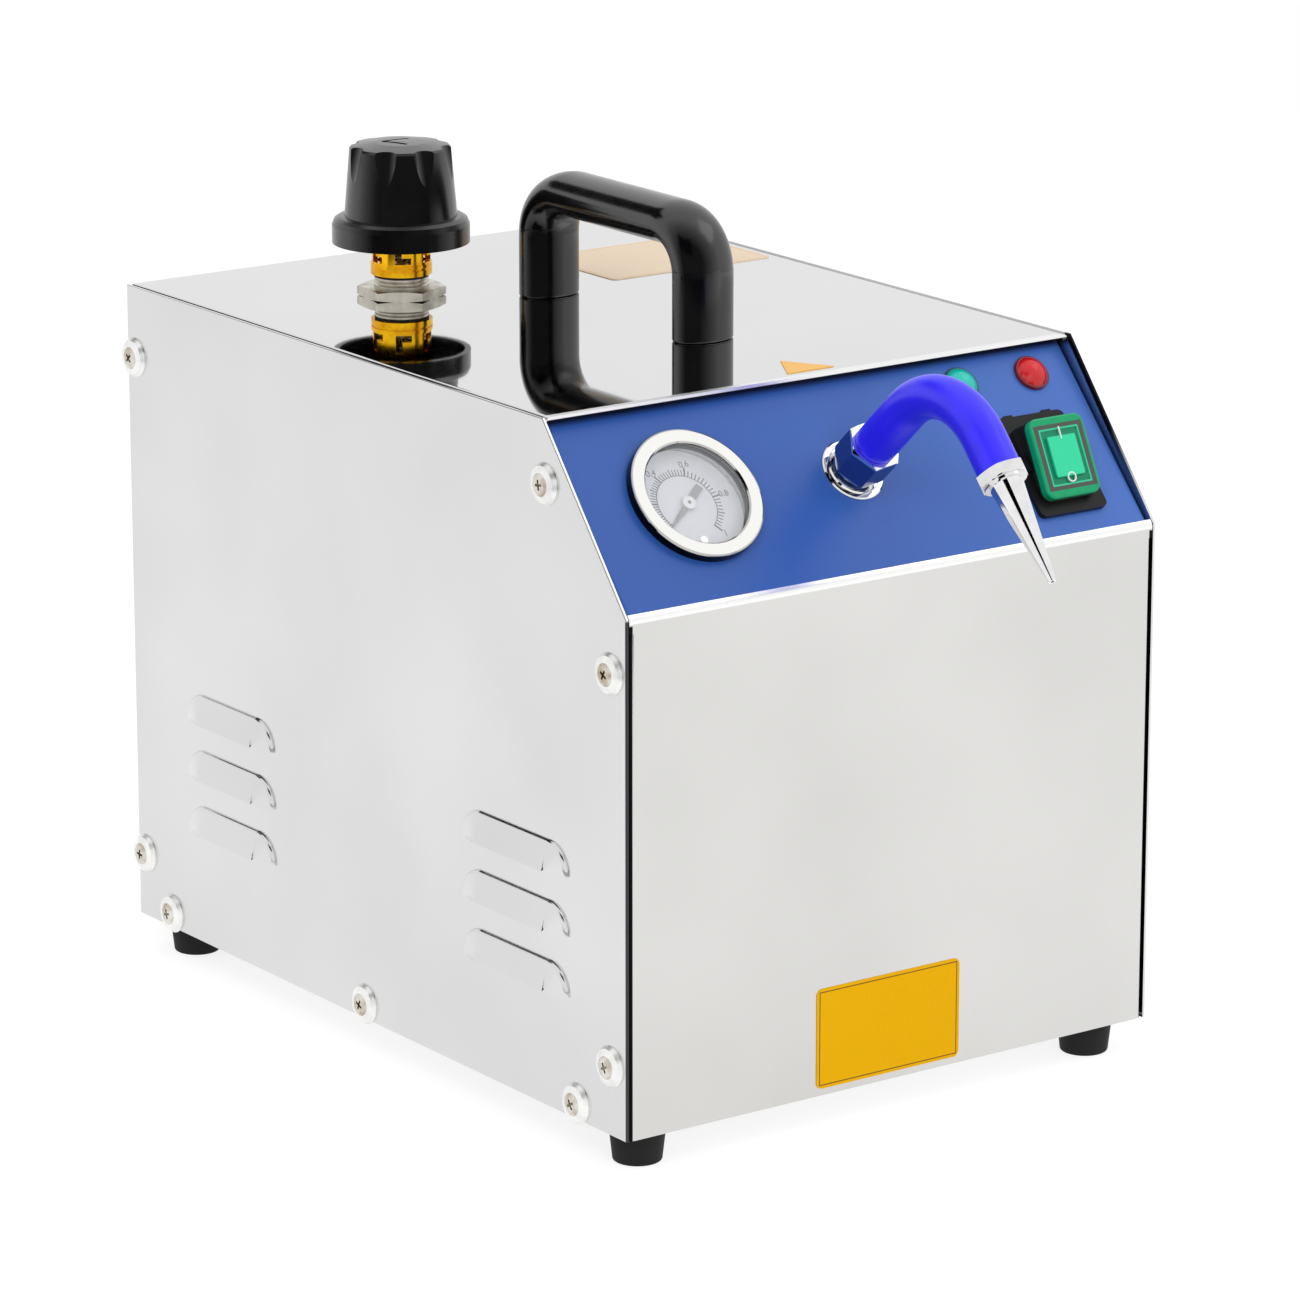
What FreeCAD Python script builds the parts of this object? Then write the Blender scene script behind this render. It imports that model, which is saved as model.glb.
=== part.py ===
"""Counter-top jewelry steam cleaner, millimetres, +Z up.

The cabinet is drawn about its own centre with the floor at z = 0, +X to the right of
somebody who faces the control panel and -Y towards them. Every piece is moved along Y
on export, so that the origin lies on the floor under the middle of the whole machine.
"""
import FreeCAD, Part
import math
import os
from FreeCAD import Placement, Rotation, Vector

X_AXIS = Vector(1, 0, 0)
Y_AXIS = Vector(0, 1, 0)
Z_AXIS = Vector(0, 0, 1)
FULL_TURN = 360.0

# ---------------------------------------------------------------- driving dimensions
# Cabinet sheet metal
cabinet_width = 240.0
cabinet_depth = 332.0
cabinet_height = 254.3
slope_rise = 62.7             # height of the sloping face
slope_run = 50.6              # how far back the sloping face reaches
sheet = 1.2
bend_radius = 2.4             # outside radius of every fold
lip_radius = 2.6              # outside radius of the fold above the front face
lip_length = 2.0              # front sheet beyond the corner, up the slope
fold_gap = 0.4                # between a side plate and the folds behind it
seat_gap = 0.1                # between two sheets that lie on each other
flange_depth = 15.0
tray_wall = 14.0
flange_spacing = 1.5          # between the ends of two flanges that share a corner
corner_relief = 0.3           # notch beyond a neighbour's fold
panel_top_recess = 6.0        # control panel below the slope, at its upper end
panel_flange = 19.0
edge_break = 0.5              # rounding of the side plates' outer edges

# Side plate fasteners: insets from the plate's edges
screw_row_height = 6.2
screw_upright_height = 26.0
screw_front_inset = 9.5
screw_front_drop = 21.0       # below the foot of the sloping face
screw_rear_inset = 5.2
screw_rear_drop = 27.9        # below the cabinet top
screw_row_front = 30.5
screw_row_rear = 24.8
screw_slope_inset = 13.2      # square to the sloping edge
screw_slope_drop = 19.3       # down the sloping edge from its upper end
washer_radius = 7.8
washer_top_radius = 4.9
washer_height = 2.4
screw_head_radius = 4.2
screw_radius = 1.95
screw_length = 9.0
thread_gap = 0.05
hole_gap = 0.25

# Louvres
louvre_length_front = 66.5
louvre_length_rear = 61.5
louvre_front_start = 35.2     # from the cabinet's front edge
louvre_rear_margin = 39.9     # from the cabinet's rear edge
louvre_height = 11.4
louvre_depth = 4.0
louvre_pitch = 22.5
louvre_lowest = 44.8
louvre_count = 3
louvre_shoulder = 1.7
louvre_wall = 1.0

# Feet
foot_height = 14.0
foot_top_radius = 10.6
foot_bottom_radius = 9.0
foot_inset_x = 16.3
foot_inset_y = 16.0
foot_bore_radius = 5.2
foot_bore_depth = 8.0
foot_screw_radius = 2.4
foot_screw_length = 14.0
foot_screw_head = 4.6

# Carrying handle, oval in section
handle_x = 2.5
handle_centre_y = 6.3
handle_span = 99.7            # between the two legs' centres
handle_rise = 41.6            # from the cabinet top to the bar's centre
handle_width = 25.4
handle_thickness = 17.1
handle_bend = 17.3
handle_edge = 1.0
handle_bolt_radius = 2.95
handle_bolt_depth = 18.0
handle_bolt_head = 5.5
handle_bolt_head_height = 4.0
handle_washer_radius = 8.0
handle_washer = 1.5

# Water filler and its screwed cap, over the boiler's axis
filler_y = 88.0
neck_radius = 10.45
neck_rise = 7.6               # above the cabinet top
neck_thread_pitch = 1.4
neck_thread_depth = 0.45
locknut_flats = 29.6
locknut_height = 3.9
locknut_turn = -35.7
nut_chamfer = 0.8
seal_thickness = 1.2
seal_inner_radius = 8.7
plug_radius = 8.4
plug_depth = 11.0
plug_bore = 5.6
cage_flange_radius = 11.85
cage_flange_height = 4.3
cage_groove_depth = 0.6
cage_groove_width = 0.9
cage_radius = 11.3
cage_wall = 2.0
cage_window_count = 6
cage_window_width = 6.2
cage_window_height = 7.0
cage_window_foot = 2.5        # height of the window's wide lower part
cage_window_leg = 2.6         # width of its narrow upper part
cage_window_sill = 0.7
cage_height = 20.0            # above its flange
knob_bottom_rise = 21.0       # above the cabinet top
knob_skirt_radius = 26.4
knob_skirt_height = 10.0
knob_wall = 2.2
knob_skirt_hollow = 8.0
knob_body_radius = 21.6
knob_top_radius = 19.4
knob_top_rise = 59.8          # above the cabinet top
knob_crown = 1.6
knob_flute_count = 8
knob_flute_radius = 6.0
knob_flute_depth = 3.0
knob_flute_length = 14.0      # down the knob's side
knob_flute_turn = -5.0
knob_mark_turn = -35.7
knob_mark_depth = 0.6
knob_mark_reach = 11.5
knob_mark_offset = 6.8        # from the knob's axis to the arrowhead's point
knob_mark_spread = 32.0       # of each arm, from the arrow's line
knob_mark_stroke = 1.7
knob_fit = 0.15
poppet_radius = 6.6
poppet_thickness = 2.0
poppet_stem_radius = 2.0
poppet_gap = 0.3
spring_radius = 4.6
spring_wire = 1.1
spring_turns = 4
spring_clearance = 0.15       # at both ends

# Pressure gauge
gauge_inset = 50.7            # from the cabinet's left side
gauge_up = 42.9
bezel_radius = 26.3
bezel_opening = 20.5
bezel_height = 3.9
bezel_lip = 0.9
gauge_case_radius = 23.6
gauge_case_depth = 24.0
gauge_case_wall = 0.8
gauge_glass_thickness = 1.5
dial_drop = 5.0               # dial face below the panel
dial_thickness = 0.6
needle_length = 13.6
needle_tail = 9.8
needle_tail_width = 3.0
needle_width = 2.8            # at the hub
needle_tip_width = 0.6
needle_thickness = 0.5
needle_hub_radius = 2.6
needle_hub_height = 1.4
needle_rest_angle = 217.0     # seen from the front, anticlockwise from +X
needle_lift = 0.6             # above the dial
spindle_radius = 0.7
dial_screw_radius = 1.5
dial_screw_drop = 14.8
dial_radius = 22.4
gauge_stem_radius = 5.0
gauge_stem_length = 14.0
gauge_nut_flats = 14.0
bourdon_radius = 15.0
bourdon_tube = 2.2
clamp_width = 12.0
clamp_sheet = 1.5

# Steam spout
spout_x = 1.5                 # right of the cabinet's middle
spout_up = 42.7
spout_washer_radius = 12.4
spout_washer_step = 10.4        # radius of its raised ring
spout_washer_rim = 1.1          # thickness outside the raised ring
spout_washer_hole = 8.4
spout_washer_thickness = 1.8
fitting_neck_radius = 7.4
fitting_thread_radius = 6.0
fitting_inner_length = 26.0
union_nut_flats = 18.4
union_nut_base = 4.4
union_nut_height = 13.6
union_nut_chamfer = 1.5
union_nut_turn = 8.0
backnut_height = 5.0
pipe_radius = 4.0
pipe_bore = 2.8
pipe_start = 8.0
sleeve_radius = 8.0
sleeve_start = 18.2
spout_straight = 42.3         # centreline from the panel to the bend
spout_bend = 31.2
spout_turn = 90.6
spout_end = 13.0
ferrule_flats = 17.0
ferrule_length = 5.4
ferrule_rim_radius = 8.0
ferrule_rim = 1.2
nozzle_radius = 6.35
nozzle_tip_radius = 1.4
nozzle_length = 39.5
nozzle_bore = 0.7
swivel_gap = 0.05

# Indicator lamps
lamp_red_inset = 21.6         # from the cabinet's right side
lamp_green_inset = 54.8
lamp_up = 69.4
lamp_rim_radius = 7.1
lamp_rim_height = 1.6
lamp_dome_radius = 6.2
lamp_dome_height = 3.0
lamp_body_radius = 5.2
lamp_body_depth = 22.0
lamp_nut_flats = 13.0
lamp_nut_height = 3.0

# Rocker switch with a booted cap
switch_inset = 33.0           # from the cabinet's right side
switch_up = 31.2
switch_width = 31.0
switch_length = 42.0
switch_flange = 2.2
switch_body_width = 26.0
switch_body_length = 36.0
switch_body_depth = 27.0
switch_well_depth = 14.0
switch_wall = 1.0             # each side of the well
switch_end_wall = 3.2
rocker_pivot = 3.4            # above the panel
rocker_width = 25.4
rocker_length = 30.6
rocker_thickness = 3.2
rocker_face = 7.3             # cap's outer face above the pivot
rocker_tilt = 16.0
rocker_pin_radius = 1.3
rocker_ear_thickness = 1.4
rocker_ear_width = 6.0
rocker_ear_top = 1.8          # above the pivot
rocker_gap = 0.2
boot_plate = 0.7
boot_margin = 0.25            # beyond the cap all round
boot_drop = 5.0               # below the pivot
boot_ridge = 0.8
boot_groove = 0.7
boot_groove_count = 3
boot_groove_start = 2.5       # above the pivot
window_width = 13.7
window_length = 15.8
window_depth = 1.6
window_proud = 0.6
trough_width = 17.2           # shallow recess in the cover around the window
trough_length = 20.4
trough_depth = 0.4
clip_width = 4.0
clip_height = 1.5
clip_reach = 1.1
clip_offset = 9.0
terminal_width = 6.3
terminal_thickness = 0.8
terminal_length = 8.0

# Labels: blank plates
label_thickness = 0.3
label_front_width = 65.6
label_front_height = 38.0
label_front_x = -2.7
label_front_up = 21.7
label_radius = 2.5
label_top_width = 76.0
label_top_depth = 54.0
label_top_inset = 44.8        # from the cabinet's right side
label_top_y = 89.0
label_corner_x = 3.0
label_corner_inset = 12.4     # behind the sloping face
label_corner_side = 21.0

# Boiler and what it carries
boiler_room_above = 90.7      # from the jacket to the top sheet
boiler_room_below = 24.8      # from the tray's floor to the jacket
boiler_room_left = 7.6        # from the jacket to the side plate's outer face
boiler_wall = 1.5
boiler_length = 180.0         # cylinder between its dished ends
boiler_dish = 20.0
boiler_centre_y = 20.0
jacket_thickness = 8.0
jacket_gap = 0.2
cradle_thickness = 3.0
cradle_width = 96.0
cradle_height = 46.0
cradle_offset = 48.0          # each side of the boiler's middle
cradle_foot = 16.0
strap_thickness = 0.8
strap_width = 12.0
heater_flange_radius = 27.0
heater_flange_thickness = 6.0
heater_port = 20.0
heater_rod = 4.0
heater_spacing = 13.0
heater_drop = 6.0
heater_reach = 150.0
heater_bolt_circle = 22.5
heater_bolt_radius = 2.2
heater_bolt_count = 6
heater_terminal = 9.0
steam_port_y = -12.0
safety_valve_y = 20.0
thermostat_y = 46.0
pressure_switch_y = -60.0
gauge_tap_offset = 27.8       # left of the boiler's axis
gauge_tap_y = -58.0
port_radius = 6.0
port_height = 16.0
steam_port_height = 12.0
safety_valve_radius = 9.0
safety_valve_height = 34.0
safety_ring_radius = 7.0
pressure_switch_radius = 14.0
pressure_switch_height = 30.0
thermostat_radius = 8.0
thermostat_height = 10.0
steam_tube_radius = 4.0
steam_tube_bore = 3.0
gauge_tube_radius = 2.0
gauge_tube_bore = 1.2
tube_bend = 9.0

# Solenoid valve, square to the panel behind the spout
solenoid_width = 28.0
solenoid_height = 26.0
solenoid_length = 28.0
solenoid_start = 29.0         # behind the panel
solenoid_coil_radius = 15.0
solenoid_coil_length = 34.0
solenoid_coil_gap = 0.3
solenoid_core_radius = 5.0
plunger_radius = 3.5
plunger_length = 16.0
plunger_stroke = 2.0
plunger_gap = 0.08

# Drain valve at the rear
drain_height = 13.8           # above the bottom of the boiler
drain_pipe_radius = 6.0
drain_pipe_bore = 4.0
drain_body_radius = 12.0
drain_body_length = 26.0
drain_seat_thickness = 2.2
drain_socket = 4.0
drain_ball_radius = 8.0
drain_ball_gap = 0.06
drain_bore = 4.0
drain_stem_radius = 3.0
drain_boss_radius = 6.0
drain_boss_height = 6.0
drain_lever_length = 40.0
drain_lever_width = 9.0
drain_lever_thickness = 2.5
drain_nut_flats = 8.0
drain_nut_height = 3.5
drain_spigot_radius = 6.0
drain_spigot_length = 16.0
drain_standoff = 2.0

# Electrical fittings
inlet_inset = 42.0            # from the cabinet's right side
inlet_up = 46.0
inlet_flange_width = 50.0
inlet_flange_height = 28.0
inlet_flange = 2.5
inlet_body_width = 28.0
inlet_body_height = 20.0
inlet_body_depth = 24.0
inlet_recess_width = 24.4
inlet_recess_height = 16.6
inlet_recess_depth = 17.0
inlet_pin_width = 2.0
inlet_pin_height = 4.0
inlet_pin_pitch = 7.0
inlet_pin_offset = 2.0
inlet_screw_pitch = 40.0
inlet_screw_radius = 1.7
pedal_inset = 42.0            # from the cabinet's right side
pedal_up = 92.0
pedal_radius = 8.0
pedal_length = 7.5
pedal_flange_radius = 11.0
pedal_flange = 2.0
pedal_body_depth = 12.0
pedal_bore = 6.4
pedal_pin_radius = 0.8
relay_inset = 48.0            # from the cabinet's right side
relay_y = -20.0
relay_width = 42.0
relay_length = 60.0
relay_height = 34.0
terminal_block_inset = 48.0   # from the cabinet's right side
terminal_block_y = 55.0
terminal_block_width = 22.0
terminal_block_length = 62.0
terminal_block_height = 17.0
terminal_block_ways = 6
earth_inset = 17.0            # from the cabinet's right side
earth_y = 100.0

# ---------------------------------------------------------------- derived places
y_front = -cabinet_depth / 2
y_rear = cabinet_depth / 2
y_slope_top = y_front + slope_run
z_bottom = foot_height
z_top = z_bottom + cabinet_height
z_slope = z_top - slope_rise
z_floor = z_bottom + sheet                      # upper face of the tray's floor
half_width = cabinet_width / 2
fold_half = half_width - sheet - fold_gap       # outer face of the folded flanges
slope_angle = math.degrees(math.atan2(slope_rise, slope_run))
slope_length = math.hypot(slope_run, slope_rise)
slope_up = Vector(0, slope_run / slope_length, slope_rise / slope_length)
slope_out = Vector(0, -slope_rise / slope_length, slope_run / slope_length)
panel_foot_recess = sheet + seat_gap            # right under the front sheet's lip
panel_lean = math.degrees(math.atan2(panel_top_recess - panel_foot_recess, slope_length))
panel_origin = Vector(0, y_front, z_slope) - slope_out * panel_foot_recess
panel_frame = Placement(panel_origin, Rotation(X_AXIS, slope_angle - panel_lean))

jacket_outer = (cabinet_height - 2 * sheet - boiler_room_above - boiler_room_below) / 2
boiler_radius = jacket_outer - jacket_thickness - jacket_gap
boiler_x = jacket_outer + boiler_room_left - half_width
boiler_z = z_floor + boiler_room_below + jacket_outer
boiler_front = boiler_centre_y - boiler_length / 2
boiler_back = boiler_centre_y + boiler_length / 2
filler_x = boiler_x
gauge_tap_x = boiler_x - gauge_tap_offset
gauge_x = gauge_inset - half_width
lamp_red_x = half_width - lamp_red_inset
lamp_green_x = half_width - lamp_green_inset
switch_x = half_width - switch_inset
label_top_x = half_width - label_top_inset
label_corner_y = y_slope_top + label_corner_inset
inlet_x = half_width - inlet_inset
pedal_x = half_width - pedal_inset
relay_x = half_width - relay_inset
terminal_block_x = half_width - terminal_block_inset
earth_x = half_width - earth_inset
well_half_width = switch_body_width / 2 - switch_wall
well_half_length = switch_body_length / 2 - switch_end_wall
boot_radius = well_half_length - rocker_gap
boot_half_width = well_half_width - rocker_gap
ear_reach = well_half_width + rocker_ear_thickness
neck_top = z_top + neck_rise
neck_bore = plug_radius + swivel_gap
cage_base = neck_top + seal_thickness
cage_top = cage_base + cage_flange_height + cage_height
spout_start = Vector(spout_x, spout_up, 0)
drain_z = boiler_z - boiler_radius + drain_height
drain_start = y_rear + drain_standoff
drain_ball_y = drain_start + drain_body_length / 2
rear_reach = drain_start + drain_body_length + drain_spigot_length


def spout_point(distance, radius=0.0):
    """Point and direction on the spout's centreline, in the panel's frame.

    radius moves the point to the outside of the bend.
    """
    arc_length = math.radians(spout_turn) * spout_bend
    turned = min(max(distance - spout_straight, 0.0), arc_length) / spout_bend
    beyond = max(distance - spout_straight - arc_length, 0.0)
    before = min(distance, spout_straight)
    direction = Vector(0, -math.sin(turned), math.cos(turned))
    outward = Vector(0, math.cos(turned), math.sin(turned))
    centre = spout_start + Vector(0, -spout_bend, before)
    point = centre + outward * (spout_bend + radius) + direction * beyond
    return point, direction


arc_of_spout = math.radians(spout_turn) * spout_bend
sleeve_end = spout_straight + arc_of_spout + spout_end
nozzle_start = sleeve_end + ferrule_length
nozzle_end = nozzle_start + nozzle_length
nozzle_tip, nozzle_direction = spout_point(nozzle_end, nozzle_tip_radius)
front_reach = -panel_frame.multVec(nozzle_tip).y
origin_shift = Vector(0, (front_reach - rear_reach) / 2, 0)


# ---------------------------------------------------------------- shape helpers
def box(x0, x1, y0, y1, z0, z1):
    """Block between two corners."""
    return Part.makeBox(x1 - x0, y1 - y0, z1 - z0, Vector(x0, y0, z0))


def rod(radius, start, direction, length):
    """Cylinder from a point along a direction."""
    return Part.makeCylinder(radius, length, start, direction)


def tube(outer, inner, start, direction, length):
    """Round tube from a point along a direction."""
    return rod(outer, start, direction, length).cut(rod(inner, start, direction, length))


def upright_ring(outer, inner, x, y, z0, z1):
    """Ring about a vertical axis between two heights."""
    return tube(outer, inner, Vector(x, y, z0), Z_AXIS, z1 - z0)


def prism(points, direction):
    """Straight-sided solid from a closed outline and an extrusion vector."""
    outline = Part.makePolygon(list(points) + [points[0]])
    return Part.Face(outline).extrude(direction)


def turned(points):
    """Solid of revolution about Z from (radius, height) points."""
    outline = Part.makePolygon([Vector(r, 0, z) for r, z in points + [points[0]]])
    return Part.Face(outline).revolve(Vector(), Z_AXIS, FULL_TURN)


def fuse(shapes):
    """One shape from several that touch or overlap."""
    joined = shapes[0]
    for shape in shapes[1:]:
        joined = joined.fuse(shape)
    return joined.removeSplitter()


def group(shapes):
    """Separate solids kept together in one node."""
    return Part.makeCompound(shapes)


def cut(shape, tools):
    """Shape without each of the tools."""
    for tool in tools:
        shape = shape.cut(tool)
    return shape


def placed(shape, placement):
    """Copy of a shape moved by a placement."""
    moved = shape.copy()
    moved.Placement = placement.multiply(moved.Placement)
    return moved


def on_panel(shape):
    """Copy of a shape from the panel's frame in the cabinet's frame."""
    return placed(shape, panel_frame)


def rounded_block(width, length, z0, z1, radius, x=0.0, y=0.0):
    """Block about (x, y) with its four upright edges rounded."""
    block = box(x - width / 2, x + width / 2, y - length / 2, y + length / 2, z0, z1)
    edges = [edge for edge in block.Edges if abs(edge.tangentAt(0).z) > 0.9]
    return block.makeFillet(radius, edges)


def hexagon(flats, z0, z1, turn=0.0, chamfer=0.0):
    """Hexagonal nut blank about Z, with turned-off corners where chamfer is set."""
    corner = flats / math.sqrt(3)
    points = []
    for side in range(6):
        angle = math.radians(turn + 60 * side)
        points.append(Vector(corner * math.cos(angle), corner * math.sin(angle), z0))
    nut = prism(points, Z_AXIS * (z1 - z0))
    if chamfer > 0:
        rim = flats / 2 + chamfer * 0.2
        profile = [(0, z0), (rim, z0), (corner + 1, z0 + chamfer), (corner + 1, z1 - chamfer),
                   (rim, z1), (0, z1)]
        nut = nut.common(turned(profile))
    return nut


def folded_pan(width, length, walls, skin=sheet, outer=bend_radius):
    """Sheet in the XY plane, its outer face at z = 0, with walls folded down to -Z.

    walls gives the depth of the x-, x+, y- and y+ walls, or 0 for none.
    """
    west, east, south, north = walls
    depth = max(walls)
    x0, x1, y0, y1 = -width / 2, width / 2, -length / 2, length / 2
    pan = box(x0, x1, y0, y1, -depth, 0)
    core = box(x0 + skin, x1 - skin, y0 + skin, y1 - skin, -depth, -skin)
    for blank, radius in ((0, outer), (1, outer - skin)):
        solid = core if blank else pan
        inset = skin if blank else 0
        chosen = []
        for edge in solid.Edges:
            middle = edge.valueAt((edge.FirstParameter + edge.LastParameter) / 2)
            if abs(middle.z + inset) > 0.01:
                continue
            sides = ((west, middle.x - x0), (east, x1 - middle.x),
                     (south, middle.y - y0), (north, y1 - middle.y))
            if any(wall > 0 and abs(offset - inset) < 0.01 for wall, offset in sides):
                chosen.append(edge)
        solid = solid.makeFillet(radius, chosen)
        if blank:
            core = solid
        else:
            pan = solid
    pan = pan.cut(core)
    strips = ((west, (x0, y0), (x0 + skin, y1)), (east, (x1 - skin, y0), (x1, y1)),
              (south, (x0, y0), (x1, y0 + skin)), (north, (x0, y1 - skin), (x1, y1)))
    for wall, low, high in strips:
        if wall < depth:
            keep = max(wall, skin)
            pan = pan.cut(box(low[0], high[0], low[1], high[1], -depth, -keep))
    return pan


def bent_solid(points, bend, radius):
    """Round bar along straight runs, with an arc of one radius at each corner."""
    pieces = []
    start = points[0]
    for index in range(1, len(points)):
        run = points[index] - points[index - 1]
        run.normalize()
        stop = points[index]
        if index < len(points) - 1:
            following = points[index + 1] - points[index]
            following.normalize()
            turn = run.getAngle(following)
            setback = bend * math.tan(turn / 2)
            stop = points[index] - run * setback
            axis = run.cross(following)
            axis.normalize()
            centre = stop + axis.cross(run) * bend
            disc = Part.Face(Part.Wire(Part.makeCircle(radius, stop, run)))
            pieces.append(disc.revolve(centre, axis, math.degrees(turn)))
        pieces.append(rod(radius, start, run, (stop - start).Length))
        if index < len(points) - 1:
            start = points[index] + following * setback
    return fuse(pieces)


def bent_tube(points, bend, outer, inner):
    """Hollow bar along straight runs and arcs."""
    return bent_solid(points, bend, outer).cut(bent_solid(points, bend, inner))


# ---------------------------------------------------------------- cabinet
def side_profile():
    """Corners of the cabinet seen from its side."""
    return [Vector(0, y_front, z_bottom), Vector(0, y_front, z_slope),
            Vector(0, y_slope_top, z_top), Vector(0, y_rear, z_top),
            Vector(0, y_rear, z_bottom)]


def side_screw_places():
    """(y, z) of the screws in one side plate."""
    slope_screw = Vector(0, y_slope_top, z_top)
    slope_screw = slope_screw - slope_up * screw_slope_drop - slope_out * screw_slope_inset
    return [(y_front + screw_front_inset, z_bottom + screw_upright_height),
            (y_front + screw_front_inset, z_slope - screw_front_drop),
            (slope_screw.y, slope_screw.z),
            (y_rear - screw_rear_inset, z_top - screw_rear_drop),
            (y_rear - screw_rear_inset, z_bottom + screw_upright_height),
            (y_front + screw_row_front, z_bottom + screw_row_height),
            ((screw_row_front - screw_row_rear) / 2, z_bottom + screw_row_height),
            (y_rear - screw_row_rear, z_bottom + screw_row_height)]


def side_holes(radius):
    """Rods through both sides of the cabinet at every side screw."""
    return [rod(radius, Vector(-half_width - 1, y, z), X_AXIS, cabinet_width + 2)
            for y, z in side_screw_places()]


def flange_holes():
    """Rods through the two rows of flanges only, for the screw threads."""
    reach = sheet + fold_gap + 2 * sheet
    holes = []
    for side in (-1, 1):
        for y, z in side_screw_places():
            holes.append(rod(screw_radius + thread_gap, Vector(side * half_width, y, z),
                             Vector(-side, 0, 0), reach))
    return holes


def louvre_solid(length, inset):
    """Punched hood along +Y from the origin, bulging towards +X, open at its lower edge.

    inset gives the inner surface of the same hood.
    """
    height = louvre_height - inset
    depth = louvre_depth - inset
    shoulder = louvre_shoulder - inset * 0.6
    top = Vector(0, 0, height)
    knee = Vector(shoulder, 0, height - shoulder)
    bulge = Vector(shoulder * 0.68, 0, height - shoulder * 0.32)
    edge = Vector(depth, 0, 0)
    arc = Part.Arc(top, bulge, knee).toShape()
    outline = Part.Wire([arc, Part.makeLine(knee, edge), Part.makeLine(edge, Vector()),
                         Part.makeLine(Vector(), top)])
    face = Part.Face(outline)
    straight = length - 2 * louvre_height
    near, far = Vector(0, louvre_height, 0), Vector(0, louvre_height + straight, 0)
    middle = face.copy()
    middle.translate(near)
    ends = []
    for place, turn in ((near, 90), (far, -90)):
        end = face.copy()
        end.translate(place)
        ends.append(end.revolve(place, X_AXIS, turn))
    return fuse([middle.extrude(Y_AXIS * straight)] + ends)


def louvre_places():
    """(length, y, z) of each louvre's lower front corner."""
    places = []
    rear_start = cabinet_depth - louvre_rear_margin - louvre_length_rear
    for length, start in ((louvre_length_front, louvre_front_start),
                          (louvre_length_rear, rear_start)):
        for row in range(louvre_count):
            places.append((length, y_front + start, z_bottom + louvre_lowest + louvre_pitch * row))
    return places


def side_panel(side):
    """Flat side plate with pressed louvres; side is -1 for the left one."""
    inner = half_width - sheet
    plate = prism([Vector(inner, p.y, p.z) for p in side_profile()], X_AXIS * sheet)
    rims = [edge for edge in plate.Edges if edge.BoundBox.XMin > half_width - 0.01]
    plate = plate.makeFillet(edge_break, rims)
    plate = cut(plate, side_holes(screw_radius + hole_gap))
    hoods = []
    for length, y, z in louvre_places():
        outer = louvre_solid(length, 0.0)
        hollow = louvre_solid(length, louvre_wall)
        outer.translate(Vector(half_width, y, z))
        hollow.translate(Vector(half_width, y, z))
        opening = Part.Face(slot_outline(length)).extrude(X_AXIS * (sheet + 2))
        opening.translate(Vector(inner - 1, y, z))
        plate = plate.cut(opening)
        hoods.append(outer.cut(hollow))
    panel = fuse([plate] + hoods)
    if side < 0:
        panel = panel.mirror(Vector(), X_AXIS)
    return panel


def slot_outline(length):
    """Closed outline, in the YZ plane, of the slot behind a louvre hood."""
    radius = louvre_height - louvre_wall
    near, far = louvre_height, length - louvre_height
    diagonal = radius * math.sqrt(0.5)
    left = Part.Arc(Vector(0, near - radius, 0), Vector(0, near - diagonal, diagonal),
                    Vector(0, near, radius)).toShape()
    right = Part.Arc(Vector(0, far, radius), Vector(0, far + diagonal, diagonal),
                     Vector(0, far + radius, 0)).toShape()
    return Part.Wire([left, Part.makeLine(Vector(0, near, radius), Vector(0, far, radius)),
                      right, Part.makeLine(Vector(0, far + radius, 0), Vector(0, near - radius, 0))])


def slope_band(margin):
    """Everything within margin of the control panel's flanges, for trimming."""
    reach = panel_flange + margin
    lower, upper = control_panel_span()
    return on_panel(box(-half_width, half_width, lower - margin, upper + reach, -reach, reach))


def control_panel_span():
    """Lower and upper edges of the control panel, up the slope."""
    rise = z_top - sheet - seat_gap - panel_origin.z
    return lip_radius * 0.5, rise / math.sin(math.radians(slope_angle - panel_lean))


def wall_zone(z0, z1, y0, y1):
    """The two flange rows along the sides, between two heights and two depths."""
    row = fold_half - sheet - 0.01
    return group([box(-half_width, -row, y0, y1, z0, z1), box(row, half_width, y0, y1, z0, z1)])


def corner_notches(z0, z1, inset_y=bend_radius + corner_relief):
    """Room for the neighbours' folds at the four upright edges, between two heights."""
    x = fold_half - bend_radius - corner_relief
    y = cabinet_depth / 2 - inset_y
    return [box(x0, x0 + half_width, y0, y0 + cabinet_depth, z0, z1)
            for x0 in (x, -x - half_width) for y0 in (y, -y - cabinet_depth)]


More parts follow.
